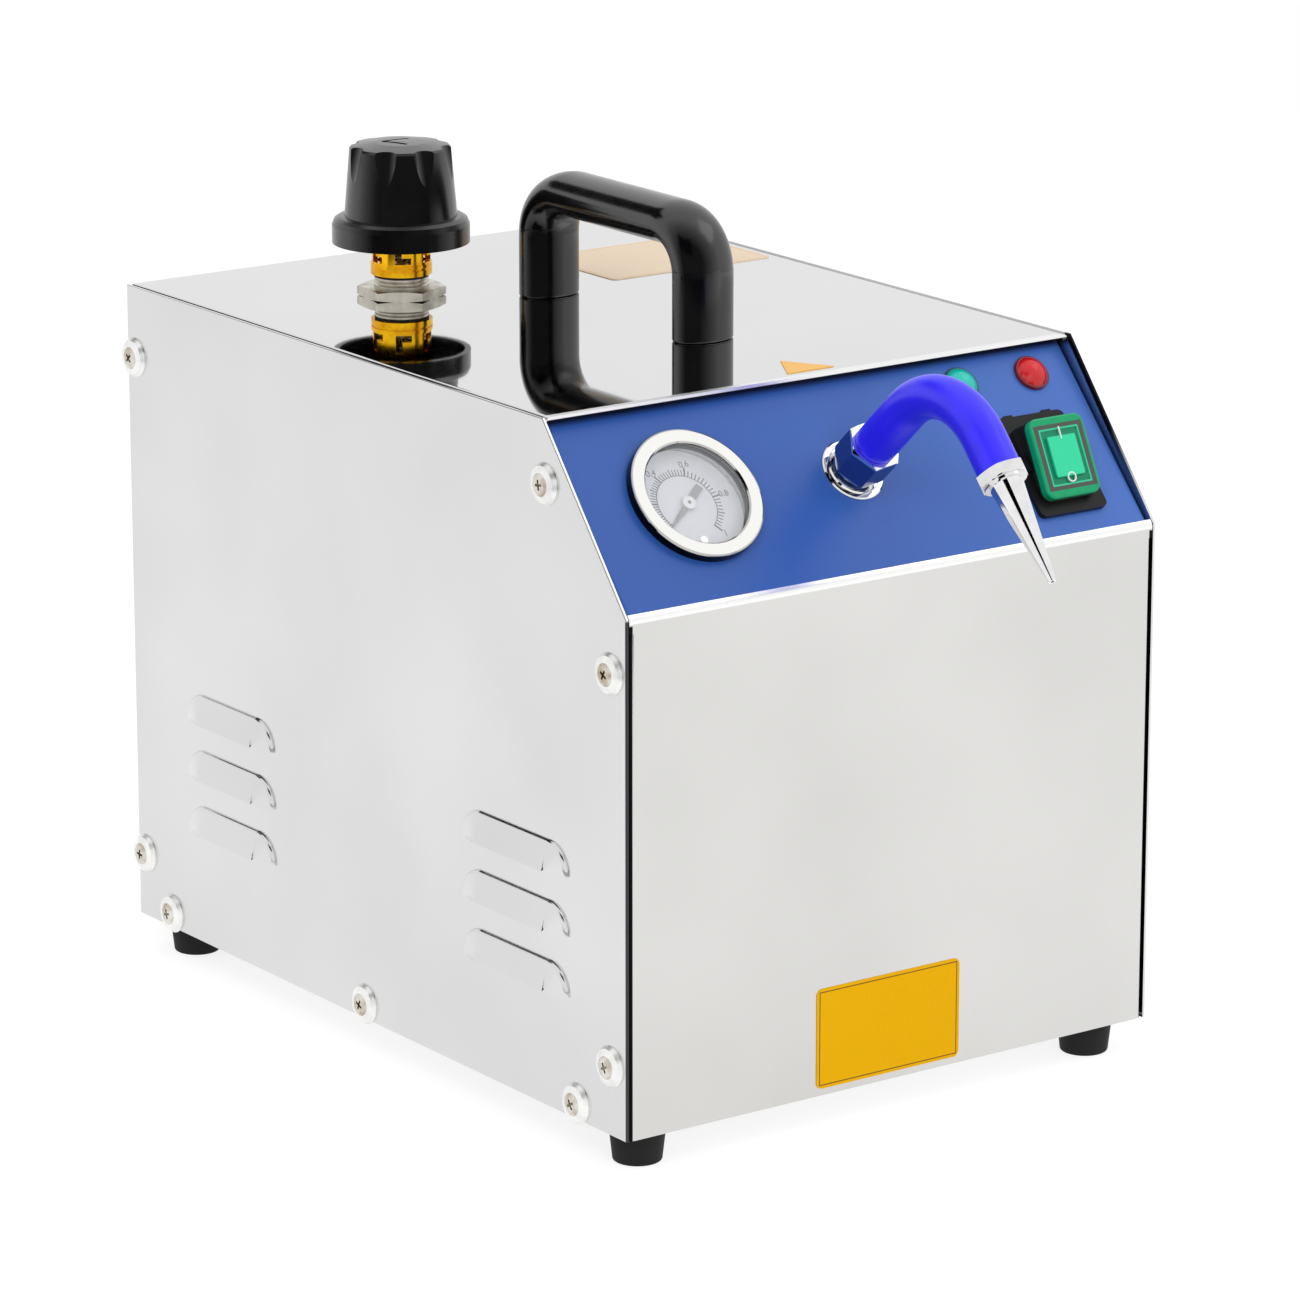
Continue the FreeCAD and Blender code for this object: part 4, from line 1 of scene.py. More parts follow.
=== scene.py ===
"""Looks of a counter-top jewelry steam cleaner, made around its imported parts.

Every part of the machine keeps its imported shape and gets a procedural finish. The few
printed and moulded details that are too thin for the parts are built here. Lengths are
in metres, +Z is up, and the operator stands on the -Y side.
"""
import logging
import math
from dataclasses import dataclass, field, replace
from enum import Enum
from typing import Callable, ClassVar, Iterable, Union

import bmesh
import bpy
from mathutils import Matrix, Quaternion, Vector


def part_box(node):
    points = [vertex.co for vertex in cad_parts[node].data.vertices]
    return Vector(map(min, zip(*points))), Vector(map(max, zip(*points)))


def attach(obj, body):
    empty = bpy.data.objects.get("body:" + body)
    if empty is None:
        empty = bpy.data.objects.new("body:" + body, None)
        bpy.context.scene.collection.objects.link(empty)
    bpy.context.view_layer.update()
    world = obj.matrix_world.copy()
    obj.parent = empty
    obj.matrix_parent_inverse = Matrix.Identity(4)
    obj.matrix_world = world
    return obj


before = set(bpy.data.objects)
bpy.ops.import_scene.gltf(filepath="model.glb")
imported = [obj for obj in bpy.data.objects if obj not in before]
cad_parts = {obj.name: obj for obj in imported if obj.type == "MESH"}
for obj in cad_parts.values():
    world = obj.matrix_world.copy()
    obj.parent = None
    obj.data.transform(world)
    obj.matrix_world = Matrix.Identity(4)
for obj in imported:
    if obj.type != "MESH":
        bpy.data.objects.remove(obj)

LOG = logging.getLogger("steam_cleaner")
MM = 0.001

Colour = tuple[float, float, float]
WHITE: Colour = (1.0, 1.0, 1.0)
SPECULAR = "Specular IOR Level"
METAL = {"Metallic": 1.0}


def scaled(colour: Colour, factor: float) -> Colour:
    """The colour with its channels times factor, at most 1."""
    return tuple(min(channel * factor, 1.0) for channel in colour)


# ------------------------------------------------------------------ shader expressions
class Kind(Enum):
    """What a socket carries."""

    NUMBER = "number"
    VECTOR = "vector"
    COLOUR = "colour"
    SHADER = "shader"


class Axis(Enum):
    """One axis of the row frame."""

    X = 0
    Y = 1
    Z = 2


@dataclass(frozen=True)
class Signal:
    """A node's output, on which Python's operators add Math and Vector Math nodes."""

    graph: "Graph"
    socket: bpy.types.NodeSocket
    kind: Kind = Kind.NUMBER

    def _number(self, operation: str, *operands: "Operand") -> "Signal":
        """Adds a Math node on numbers and number signals, in the node's order."""
        node = self.graph.node("ShaderNodeMath", {"operation": operation},
                               dict(enumerate(operands)))
        return Signal(self.graph, node.outputs[0])

    def _vector(self, operation: str, *operands: "Operand",
                kind: Kind = Kind.VECTOR) -> "Signal":
        """Adds a Vector Math node.

        Args:
            operation: the Vector Math node's operation.
            operands: vectors or vector signals, in the node's order.
            kind: whether its vector or its number is wanted.

        Returns:
            The node's result.
        """
        node = self.graph.node("ShaderNodeVectorMath", {"operation": operation},
                               dict(enumerate(operands)))
        return Signal(self.graph, node.outputs[0 if kind is Kind.VECTOR else 1], kind)

    def _either(self, operation: str, *operands: "Operand") -> "Signal":
        """Adds a Math or a Vector Math node, as this signal's kind asks."""
        if self.kind is Kind.VECTOR:
            return self._vector(operation, *operands)
        return self._number(operation, *operands)

    def __add__(self, other: "Operand") -> "Signal":
        """This plus other."""
        return self._either("ADD", self, other)

    __radd__ = __add__

    def __sub__(self, other: "Operand") -> "Signal":
        """This minus other."""
        return self._either("SUBTRACT", self, other)

    def __rsub__(self, other: "Operand") -> "Signal":
        """Other minus this."""
        return self._either("SUBTRACT", other, self)

    def __mul__(self, other: "Operand") -> "Signal":
        """This times other."""
        return self._either("MULTIPLY", self, other)

    __rmul__ = __mul__

    def __pow__(self, other: "Operand") -> "Signal":
        """This to the power of other."""
        return self._number("POWER", self, other)

    def __abs__(self) -> "Signal":
        """This without its sign."""
        return self._either("ABSOLUTE", self)

    def __gt__(self, other: "Operand") -> "Signal":
        """1 where this is greater than other."""
        return self._number("GREATER_THAN", self, other)

    def __lt__(self, other: "Operand") -> "Signal":
        """1 where this is less than other."""
        return self._number("LESS_THAN", self, other)

    def most(self, other: "Operand") -> "Signal":
        """The greater of this and other."""
        return self._either("MAXIMUM", self, other)

    def dot(self, other: "Operand") -> "Signal":
        """The dot product with a vector."""
        return self._vector("DOT_PRODUCT", self, other, kind=Kind.NUMBER)

    def length(self) -> "Signal":
        """The length of this vector."""
        return self._vector("LENGTH", self, kind=Kind.NUMBER)

    def along(self, axis: Axis) -> "Signal":
        """One coordinate of this vector."""
        node = self.graph.node("ShaderNodeSeparateXYZ", {}, {0: self})
        return Signal(self.graph, node.outputs[axis.value])

    def within(self, low: float, high: float, start: float = 0.0, end: float = 1.0) -> "Signal":
        """Maps low..high to start..end, and holds the ends.

        Args:
            low: input that gives start.
            high: input that gives end.
            start: result at and below low.
            end: result at and above high.

        Returns:
            The mapped number.
        """
        node = self.graph.node("ShaderNodeMapRange", {"clamp": True},
                               {0: self, 1: low, 2: high, 3: start, 4: end})
        return Signal(self.graph, node.outputs[0])


Operand = Union[Signal, int, float, tuple, Vector]


class Graph:
    """A node tree under construction."""

    def __init__(self, tree: bpy.types.NodeTree) -> None:
        """Empties the node tree of a material or a world."""
        self.tree = tree
        self.tree.nodes.clear()

    def node(self, kind: str, settings: dict | None = None,
             values: dict | None = None) -> bpy.types.Node:
        """Adds one node.

        Args:
            kind: the node's type name.
            settings: attributes that are set first.
            values: numbers, colours, vectors or signals by socket name or number.

        Returns:
            The new node.
        """
        node = self.tree.nodes.new(kind)
        for name, value in (settings or {}).items():
            setattr(node, name, value)
        for name, value in (values or {}).items():
            socket = node.inputs[name]
            if isinstance(value, Signal):
                self.tree.links.new(value.socket, socket)
            elif socket.type == "RGBA":
                socket.default_value = (*value[:3], 1.0)
            elif socket.type == "VECTOR" and isinstance(value, (int, float)):
                socket.default_value = (value, value, value)
            else:
                socket.default_value = value
        return node

    def position(self) -> Signal:
        """Place in the row frame at rest, which rides with a moving part."""
        node = self.node("ShaderNodeTexCoord")
        return Signal(self, node.outputs["Object"], Kind.VECTOR)

    def noise(self, scale: float, stretch: Colour = (1.0, 1.0, 1.0), detail: float = 3.0,
              roughness: float = 0.5) -> Signal:
        """Cloudy pattern from 0 to 1.

        Args:
            scale: features per metre.
            stretch: factors on the three axes; a small one draws the pattern out.
            detail: octaves.
            roughness: weight of the finer octaves.

        Returns:
            The pattern's value.
        """
        place = self.position() * Vector(stretch)
        node = self.node("ShaderNodeTexNoise", {},
                         {"Vector": place, "Scale": scale, "Detail": detail,
                          "Roughness": roughness})
        return Signal(self, node.outputs[0])

    def cells(self, scale: float) -> Signal:
        """Distance to the nearest of scattered points, scale of them per metre."""
        node = self.node("ShaderNodeTexVoronoi", {}, {"Vector": self.position(), "Scale": scale})
        return Signal(self, node.outputs["Distance"])

    def from_axis(self, centre: Vector, direction: Vector) -> Signal:
        """Distance from a line.

        Args:
            centre: a point on the line.
            direction: the line's unit direction.

        Returns:
            The distance in metres.
        """
        offset = self.position() - centre
        depth = offset.dot(direction)
        reach = offset.length()
        return (reach * reach - depth * depth).most(0.0) ** 0.5

    def blend(self, share: Operand, first: Operand, second: Operand) -> Signal:
        """The first colour where share is 0, the second where it is 1."""
        node = self.node("ShaderNodeMix", {"data_type": "RGBA"}, {0: share, 6: first, 7: second})
        return Signal(self, node.outputs[2], Kind.COLOUR)

    def toned(self, share: Operand, colour: Colour, factor: float) -> Signal:
        """A colour, which is times factor where share is 1."""
        return self.blend(share, colour, scaled(colour, factor))

    def facing(self, blend: float) -> Signal:
        """0 where the surface faces the eye, 1 edge on; 1 - cosine when blend is 0.5."""
        node = self.node("ShaderNodeLayerWeight", {}, {"Blend": blend})
        return Signal(self, node.outputs["Facing"])

    def bump(self, height: Signal, depth: float) -> Signal:
        """Normal that shows a relief, of which a height of 1 is depth metres."""
        node = self.node("ShaderNodeBump", {},
                         {"Height": height, "Distance": depth, "Strength": 1.0})
        return Signal(self, node.outputs[0], Kind.VECTOR)

    def shader(self, kind: str, values: dict) -> Signal:
        """Adds a shader node, with its values by socket name or number."""
        return Signal(self, self.node(kind, {}, values).outputs[0], Kind.SHADER)

    def surface(self, colour: Operand, roughness: Operand, normal: Signal | None = None,
                more: dict | None = None) -> Signal:
        """A Principled shader; more has further values by socket name."""
        values = {"Base Color": colour, "Roughness": roughness, **(more or {})}
        if normal is not None:
            values["Normal"] = normal
        return self.shader("ShaderNodeBsdfPrincipled", values)

    def glow(self, strength: Operand) -> Signal:
        """A white emission shader."""
        return self.shader("ShaderNodeEmission", {0: WHITE, 1: strength})

    def mix_shaders(self, share: Operand, first: Signal, second: Signal) -> Signal:
        """The first shader where share is 0, the second where it is 1."""
        return self.shader("ShaderNodeMixShader", {0: share, 1: first, 2: second})


# ------------------------------------------------------------------ finishes
def shaded_material(name: str, wire: Callable[[Graph], Signal]) -> bpy.types.Material:
    """Makes a material.

    Args:
        name: the material's name.
        wire: adds the nodes to an empty node tree and returns the shader.

    Returns:
        The material.
    """
    material = bpy.data.materials.new(name)
    material.use_nodes = True
    graph = Graph(material.node_tree)
    graph.node("ShaderNodeOutputMaterial", {}, {"Surface": wire(graph)})
    return material


@dataclass(frozen=True)
class Finish:
    """A surface finish. Each kind says how its shader is wired."""

    made: ClassVar[dict] = {}

    def wire(self, graph: Graph) -> Signal:
        """Adds the finish's nodes to an empty tree, and returns the shader."""
        raise NotImplementedError

    def material(self, name: str) -> bpy.types.Material:
        """The finish as a material, made once for each name."""
        if name not in self.made:
            self.made[name] = shaded_material(name, self.wire)
        return self.made[name]


@dataclass(frozen=True)
class PaintedStrip:
    """Part of a sheet with its own tint, painted on as shade where the tint is dark and as a
    highlight where it is bright.

    Each bound is a direction with the distances along it at which the part starts and is full.
    """

    bounds: tuple[tuple[Vector, float, float], ...]
    tint: Colour
    roughness: float


@dataclass(frozen=True)
class SheetSteel(Finish):
    """Rolled stainless sheet: fine grain one way, faint haze and hand marks, and bands of
    painted shade and painted highlights.
    """

    tint: Colour = (0.705, 0.705, 0.705)
    roughness: float = 0.16
    grain: Colour = (40.0, 1.0, 40.0)
    grain_depth: float = 2.0e-6
    haze: float = 0.05
    ripple: float = 0.0
    painted_strips: tuple[PaintedStrip, ...] = ()

    def wire(self, graph: Graph) -> Signal:
        """Grain in the roughness and the relief, haze in the colour, and painted shade and
        highlight bands in the colour and roughness.
        """
        grain = graph.noise(45.0, self.grain, 4.0, 0.6)
        cloud = graph.noise(9.0, detail=2.0)
        marks = graph.noise(60.0, detail=5.0, roughness=0.7).within(0.62, 0.8)
        colour = graph.blend(cloud.within(0.35, 0.65), scaled(self.tint, 1.0 - self.haze),
                             scaled(self.tint, 1.0 + self.haze * 0.5))
        rough = self.roughness + (grain - 0.5) * (self.roughness * 0.5)
        rough = rough + marks * (self.roughness * 0.25)
        relief = graph.bump(grain, self.grain_depth)
        if self.ripple > 0:
            wave = graph.noise(14.0, detail=1.0)
            relief = graph.bump(grain * 0.02 + wave, self.ripple)
        # Painted shade and painted highlights, in bands of the sheet.
        for painted_strip in self.painted_strips:
            share = 1.0
            for direction, start, full in painted_strip.bounds:
                share = graph.position().dot(direction).within(start, full) * share
            colour = graph.blend(share, colour, painted_strip.tint)
            rough = rough + share * painted_strip.roughness
        return graph.surface(colour, rough, relief, METAL)


@dataclass(frozen=True)
class PowderCoat(Finish):
    """Satin powder coat with a fine orange peel, with painted light that makes it paler to one
    side, and a painted shadow at its upper edge.
    """

    origin: Vector
    up: Vector
    colour: Colour = (0.022, 0.088, 0.362)
    # Painted light: the blue turns paler towards +X, over the given span across the panel.
    painted_light_colour: Colour = (0.046, 0.135, 0.47)
    painted_light_span: tuple[float, float] = (-40.0 * MM, 110.0 * MM)
    # Painted shadow: a near-black blue in a band at the top of the panel, under the top sheet's
    # edge; the cloud also darkens towards this blue at random.
    shadow: tuple[float, float] = (78.6 * MM, 80.9 * MM)
    painted_shadow_and_mottle: Colour = (0.002, 0.007, 0.03)
    roughness: float = 0.36

    def wire(self, graph: Graph) -> Signal:
        """Peel in the relief, a slight cloud, a painted light gradient and a painted shadow
        gradient in the colour.
        """
        peel = graph.noise(1100.0, detail=2.0, roughness=0.45)
        cloud = graph.noise(16.0, detail=3.0)
        grit = graph.cells(2600.0).within(0.0, 0.5, 1.0, 0.0)
        place = graph.position()
        # Painted light, paler towards +X, and painted shadow in the band at the panel's top.
        side = place.along(Axis.X).within(*self.painted_light_span)
        upper = (place - self.origin).dot(self.up).within(*self.shadow)
        paint = graph.blend(side, self.colour, self.painted_light_colour)
        paint = graph.blend(upper, paint, self.painted_shadow_and_mottle)
        colour = graph.blend(cloud.within(0.3, 0.7, 0.0, 0.06), paint, self.painted_shadow_and_mottle)
        rough = self.roughness + (peel - 0.5) * 0.12 + grit * 0.04
        return graph.surface(colour, rough, graph.bump(peel, 1.6e-5), {SPECULAR: 0.4})


@dataclass(frozen=True)
class Plate(Finish):
    """Bare or plated metal, turned, cast or polished."""

    colour: Colour
    roughness: float = 0.12
    cast: float = 0.0
    dull: Colour | None = None

    def wire(self, graph: Graph) -> Signal:
        """Handling marks in the roughness, dull patches in the colour, cast skin as relief."""
        patch = graph.noise(160.0, detail=4.0, roughness=0.6)
        skin = graph.noise(1800.0, detail=3.0, roughness=0.6)
        colour = graph.blend(patch.within(0.38, 0.68), self.colour,
                             self.dull or scaled(self.colour, 0.88))
        rough = self.roughness + patch.within(0.35, 0.75) * self.roughness * 0.6
        relief = graph.bump(skin, max(self.cast, 4.0e-7))
        return graph.surface(colour, rough + skin * 0.03, relief, METAL)


@dataclass(frozen=True)
class Moulded(Finish):
    """Moulded plastic or rubber with a fine skin and faint rubbed patches."""

    colour: Colour
    roughness: float = 0.3
    skin: float = 4.0e-6
    skin_scale: float = 1400.0
    rubbed: float = 0.3
    seams: tuple[float, ...] = ()
    specular: float = 0.5
    gloss_from: float = 0.0
    gloss_full: float = 0.0

    def wire(self, graph: Graph) -> Signal:
        """Skin as relief, rubbed patches in colour and roughness, seams as thin grooves.

        Where gloss_full is set, the gloss grows as the surface turns away from the eye.
        """
        skin = graph.noise(self.skin_scale, detail=3.0, roughness=0.55)
        patch = graph.noise(55.0, detail=4.0, roughness=0.6).within(0.4, 0.72)
        rubbed = tuple(channel * (1.0 + self.rubbed) + 0.004 * self.rubbed
                       for channel in self.colour)
        colour = graph.blend(patch, self.colour, rubbed)
        rough = self.roughness + skin * 0.05 + patch * 0.06
        height = skin
        depth = self.skin
        if self.seams:
            level = graph.position().along(Axis.Z)
            groove = 0.0
            for seam in self.seams:
                line = abs(level - seam).within(0.00015, 0.00045, 1.0, 0.0)
                groove = line.most(groove)
            colour = graph.blend(groove * 0.7, colour, (0.002, 0.002, 0.002))
            height = skin * 0.03 - groove
            depth = 1.5e-4
        relief = graph.bump(height, depth)
        glossy = graph.surface(colour, rough, relief, {SPECULAR: self.specular})
        if self.gloss_full <= 0:
            return glossy
        matte = graph.surface(colour, rough, relief, {SPECULAR: 0.06})
        share = graph.facing(0.5).within(self.gloss_from, self.gloss_full)
        return graph.mix_shaders(share, matte, glossy)


@dataclass(frozen=True)
class Silicone(Finish):
    """Glossy silicone hose, with a painted sheen that makes it paler where it is seen edge on,
    and a faint painted blue glow.
    """

    colour: Colour = (0.026, 0.012, 0.86)
    # Painted sheen colour at the silhouette, and a faint painted blue glow, though the hose is
    # no lamp.
    rim: Colour = (0.30, 0.24, 0.95)
    glow: Colour = (0.0, 0.0, 0.16)

    def wire(self, graph: Graph) -> Signal:
        """Painted sheen by the angle, drawn-out cloud in the colour, soft skin, and a painted
        glow.
        """
        cloud = graph.noise(120.0, detail=2.0)
        skin = graph.noise(900.0, detail=2.0)
        base = graph.toned(cloud.within(0.3, 0.7), self.colour, 0.88)
        # Painted sheen: the colour turns paler violet where the hose is seen edge on.
        edge = graph.facing(0.35).within(0.75, 1.0, 0.0, 0.8)
        colour = graph.blend(edge, base, self.rim)
        # The emission is a painted glow.
        return graph.surface(colour, 0.3 + skin * 0.08, graph.bump(skin, 4.0e-6), {
            SPECULAR: 0.6, "Emission Color": self.glow, "Emission Strength": 1.0})


@dataclass(frozen=True)
class ClearGlass(Finish):
    """Thin clear window: seen through, with its reflection on top."""

    def wire(self, graph: Graph) -> Signal:
        """Mixes see-through and gloss by Fresnel, with faint dust in the gloss."""
        dust = graph.noise(700.0, detail=4.0, roughness=0.7)
        fresnel = graph.node("ShaderNodeFresnel", {}, {"IOR": 1.45})
        share = Signal(graph, fresnel.outputs[0]) * 0.6
        clear = graph.shader("ShaderNodeBsdfTransparent", {0: (0.98, 0.98, 0.985)})
        gloss = graph.surface((0.9, 0.92, 0.92), dust.within(0.55, 0.9, 0.02, 0.12),
                              more=METAL)
        return graph.mix_shaders(share, clear, gloss)


@dataclass(frozen=True)
class Film(Finish):
    """Printed film with a thin border line, left blank inside."""

    colour: Colour
    line: Colour
    centre: Vector
    half: tuple[float, float]
    axes: tuple[Axis, Axis]
    inset: float = 1.1 * MM
    width: float = 0.45 * MM
    second: Colour | None = None
    second_below: float = 0.0

    def wire(self, graph: Graph) -> Signal:
        """A border by distance from the edge, ink grain, and a second colour before a line."""
        offset = abs(graph.position() - self.centre)
        gaps = [half - offset.along(axis) for half, axis in zip(self.half, self.axes)]
        edge = 0.0 - (0.0 - gaps[0]).most(0.0 - gaps[1])
        line = (edge > self.inset) * (edge < self.inset + self.width)
        ink = graph.noise(900.0, detail=4.0, roughness=0.7)
        fade = graph.noise(30.0, detail=2.0)
        paper = graph.toned(ink.within(0.3, 0.7), self.colour, 0.93)
        paper = graph.blend(fade.within(0.3, 0.8, 0.0, 0.25), paper,
                            scaled(self.colour, 1.08))
        if self.second is not None:
            front = graph.position().along(Axis.Y) < self.second_below
            paper = graph.blend(front, paper, self.second)
            line = line * (1.0 - front)
        colour = graph.blend(line, paper, self.line)
        return graph.surface(colour, 0.4 + ink * 0.12, graph.bump(ink, 3.0e-6),
                             {SPECULAR: 0.12})


@dataclass(frozen=True)
class Ringed(Finish):
    """Two finishes about an axis: one near it and one further out."""

    centre: Vector
    direction: Vector
    radius: float
    inner: Colour
    outer: Colour
    inner_metal: float = 0.0
    outer_metal: float = 0.0
    inner_roughness: float = 0.3
    outer_roughness: float = 0.3
    core_radius: float = 0.0
    core: Colour = (0.01, 0.01, 0.01)
    transmission: float = 0.0
    speckle: float = 0.06

    def wire(self, graph: Graph) -> Signal:
        """Colour, metal and roughness by the distance from the axis."""
        reach = graph.from_axis(self.centre, self.direction)
        out = reach.within(self.radius - 0.05 * MM, self.radius + 0.05 * MM)
        grain = graph.noise(1300.0, detail=3.0, roughness=0.6)
        colour = graph.blend(out, self.inner, self.outer)
        if self.core_radius > 0:
            colour = graph.blend(reach < self.core_radius, colour, self.core)
        colour = graph.blend(grain.within(0.35, 0.75, 0.0, self.speckle), colour,
                             scaled(self.outer, 0.6))
        metal = out * (self.outer_metal - self.inner_metal) + self.inner_metal
        rough = out * (self.outer_roughness - self.inner_roughness) + self.inner_roughness
        return graph.surface(colour, rough + grain * 0.04, graph.bump(grain, 2.0e-6),
                             {"Metallic": metal, "Transmission Weight": self.transmission})


@dataclass(frozen=True)
class Banded(Finish):
    """Polished metal in bands of different tones along a direction, whose bands here paint dark
    reflections, shade and highlights onto the metal.
    """

    start: Vector
    direction: Vector
    tone: Colour
    bands: tuple[tuple[float, Colour], ...]
    roughness: float = 0.08
    metallic: float = 1.0

    def wire(self, graph: Graph) -> Signal:
        """One tone up to the first level, then a band from each level on; faint marks."""
        depth = (graph.position() - self.start).dot(self.direction)
        marks = graph.noise(420.0, detail=4.0, roughness=0.65)
        colour = graph.toned(marks.within(0.4, 0.8), self.tone, 0.9)
        for level, tone in self.bands:
            colour = graph.blend(depth > level, colour, tone)
        return graph.surface(colour, self.roughness + marks * 0.05, graph.bump(marks, 4.0e-7),
                             {"Metallic": self.metallic})


@dataclass(frozen=True)
class Panes(Finish):
    """Glossy plastic with oblong zones of other colours about one centre."""

    colour: Colour
    centre: Vector
    across: Vector
    along: Vector
    zones: tuple[tuple[float, float, Colour], ...]
    roughness: float = 0.2

    def wire(self, graph: Graph) -> Signal:
        """Zones by the distances along two directions, outermost first, and a soft skin."""
        offset = graph.position() - self.centre
        across = abs(offset.dot(self.across))
        along = abs(offset.dot(self.along))
        cloud = graph.noise(160.0, detail=3.0)
        skin = graph.noise(1200.0, detail=3.0)
        colour = graph.toned(cloud.within(0.35, 0.7), self.colour, 0.85)
        for half_width, half_length, zone in self.zones:
            inside = (across.within(half_width - 0.05 * MM, half_width + 0.05 * MM, 1.0, 0.0)
                      * along.within(half_length - 0.05 * MM, half_length + 0.05 * MM, 1.0, 0.0))
            colour = graph.blend(inside, colour, zone)
        return graph.surface(colour, self.roughness + skin * 0.06, graph.bump(skin, 2.0e-6),
                             {SPECULAR: 0.3})


@dataclass(frozen=True)
class Dial(Finish):
    """Satin dial paint with the domed fixing screw left bright."""

    screw: Vector
    direction: Vector
    radius: float = 1.55 * MM
    paint: Colour = (0.68, 0.69, 0.73)

    def wire(self, graph: Graph) -> Signal:
        """Paint grain, and metal within the screw's radius."""
        bright = graph.from_axis(self.screw, self.direction).within(
            self.radius - 0.05 * MM, self.radius + 0.05 * MM, 1.0, 0.0)
        grain = graph.noise(1500.0, detail=3.0, roughness=0.65)
        cloud = graph.noise(40.0, detail=2.0)
        paint = graph.toned(grain.within(0.35, 0.7), self.paint, 0.94)
        paint = graph.blend(cloud.within(0.35, 0.7, 0.0, 0.4), paint, scaled(self.paint, 1.06))
        colour = graph.blend(bright, paint, (0.72, 0.72, 0.72))
        return graph.surface(colour, bright * -0.35 + 0.5 + grain * 0.06,
                             graph.bump(grain, 2.0e-6), {"Metallic": bright})


@dataclass(frozen=True)
class Wool(Finish):
    """Pressed glass-fibre wool."""

    colour: Colour = (0.50, 0.47, 0.40)

    def wire(self, graph: Graph) -> Signal:
        """Crossed fibres in colour and relief."""
        along = graph.noise(420.0, (0.2, 1.0, 1.0), 4.0, 0.7)
        across = graph.noise(420.0, (1.0, 0.2, 1.0), 4.0, 0.7)
        fibre = (along + across) * 0.5
        colour = graph.toned(fibre.within(0.35, 0.65), self.colour, 0.6)
        return graph.surface(colour, fibre * 0.1 + 0.85, graph.bump(fibre, 4.0e-4),
                             {"Sheen Weight": 0.3})


@dataclass(frozen=True)
class Ink(Finish):
    """Printed mark, slightly uneven."""

    colour: Colour
    roughness: float = 0.5

    def wire(self, graph: Graph) -> Signal:
        """Ink density by a fine noise."""
        grain = graph.noise(2500.0, detail=3.0, roughness=0.7)
        thin = tuple(channel * 0.8 + 0.03 for channel in self.colour)
        colour = graph.blend(grain.within(0.4, 0.8, 0.0, 0.7), self.colour, thin)
        return graph.surface(colour, self.roughness + grain * 0.08)


CHROME = Plate((0.80, 0.80, 0.80), 0.05)
ZINC = Plate((0.62, 0.62, 0.60), 0.24, 2.0e-6, (0.50, 0.50, 0.48))
NICKEL = Plate((0.66, 0.63, 0.54), 0.27, 9.0e-6, (0.50, 0.47, 0.40))
GOLD = Plate((1.0, 0.56, 0.012), 0.13, 1.0e-6, (0.72, 0.30, 0.008))
BRASS = Plate((0.70, 0.48, 0.17), 0.2, 3.0e-6, (0.50, 0.33, 0.12))
COPPER = Plate((0.70, 0.33, 0.19), 0.25, 2.0e-6, (0.42, 0.20, 0.12))
SPRING_STEEL = Plate((0.56, 0.56, 0.55), 0.28, 2.0e-6)
PLAIN_STEEL = SheetSteel(tint=(0.60, 0.60, 0.59), roughness=0.3, grain=(1.0, 40.0, 40.0))
KNOB_BLACK = Moulded((0.002, 0.002, 0.0022), 0.2, 4.0e-6, 1600.0, 0.5, specular=0.75,
                     gloss_from=0.1, gloss_full=0.36)
HANDLE_BLACK = Moulded((0.002, 0.002, 0.0026), 0.14, 2.0e-6, 900.0, 0.4, specular=0.85,
                       gloss_from=0.05, gloss_full=0.24)
SATIN_BLACK = Moulded((0.005, 0.005, 0.0055), 0.4, 1.4e-5, 2200.0, 0.4, specular=0.5,
                      gloss_from=0.12, gloss_full=0.5)
RUBBER = Moulded((0.010, 0.011, 0.010), 0.62, 2.2e-5, 1300.0, 0.5, specular=0.25)
GREY_PLASTIC = Moulded((0.34, 0.35, 0.36), 0.45, 8.0e-6, 1500.0, 0.15)
COIL_BLACK = Moulded((0.02, 0.02, 0.021), 0.4, 8.0e-6, 1500.0, 0.5)


# ------------------------------------------------------------------ places and helpers
Z_UP = Vector((0.0, 0.0, 1.0))


@dataclass(frozen=True)
class Slope:
    """The control panel's own frame: across it, up it and out of it."""

    rise: float = 62.7 * MM
    run: float = 50.6 * MM
    foot_recess: float = 1.3 * MM
    top_recess: float = 6.0 * MM

    def pitch(self) -> float:
        """The panel's angle from level in radians; it leans back from the cabinet's slope."""
        lean = math.atan2(self.top_recess - self.foot_recess, math.hypot(self.run, self.rise))
        return math.atan2(self.rise, self.run) - lean

    def up(self) -> Vector:
        """Unit direction up the panel."""
        return Vector((0.0, math.cos(self.pitch()), math.sin(self.pitch())))

    def out(self) -> Vector:
        """Unit direction out of the panel."""
        return Vector((0.0, -math.sin(self.pitch()), math.cos(self.pitch())))

    def point(self, x: float, up: float, out: float) -> Vector:
        """Place on the recessed panel.

        Args:
            x: across, from the cabinet's middle.
            up: up the panel, from its foot.
            out: above the panel's surface.

        Returns:
            The place in the row frame.
        """
        low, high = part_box("side_panel_left")
        inward = Vector((0.0, self.rise, -self.run)).normalized()
        foot = Vector((x, low.y, high.z - self.rise)) + inward * self.foot_recess
        return foot + self.up() * up + self.out() * out

    def frame(self, x: float, up: float, out: float) -> Matrix:
        """Transform from a flat drawing about the origin to a point of the panel."""
        columns = (Vector((1.0, 0.0, 0.0)), self.up(), self.out(), self.point(x, up, out))
        rows = [[column[row] for column in columns] for row in range(3)]
        return Matrix((*rows, (0.0, 0.0, 0.0, 1.0)))


SLOPE = Slope()


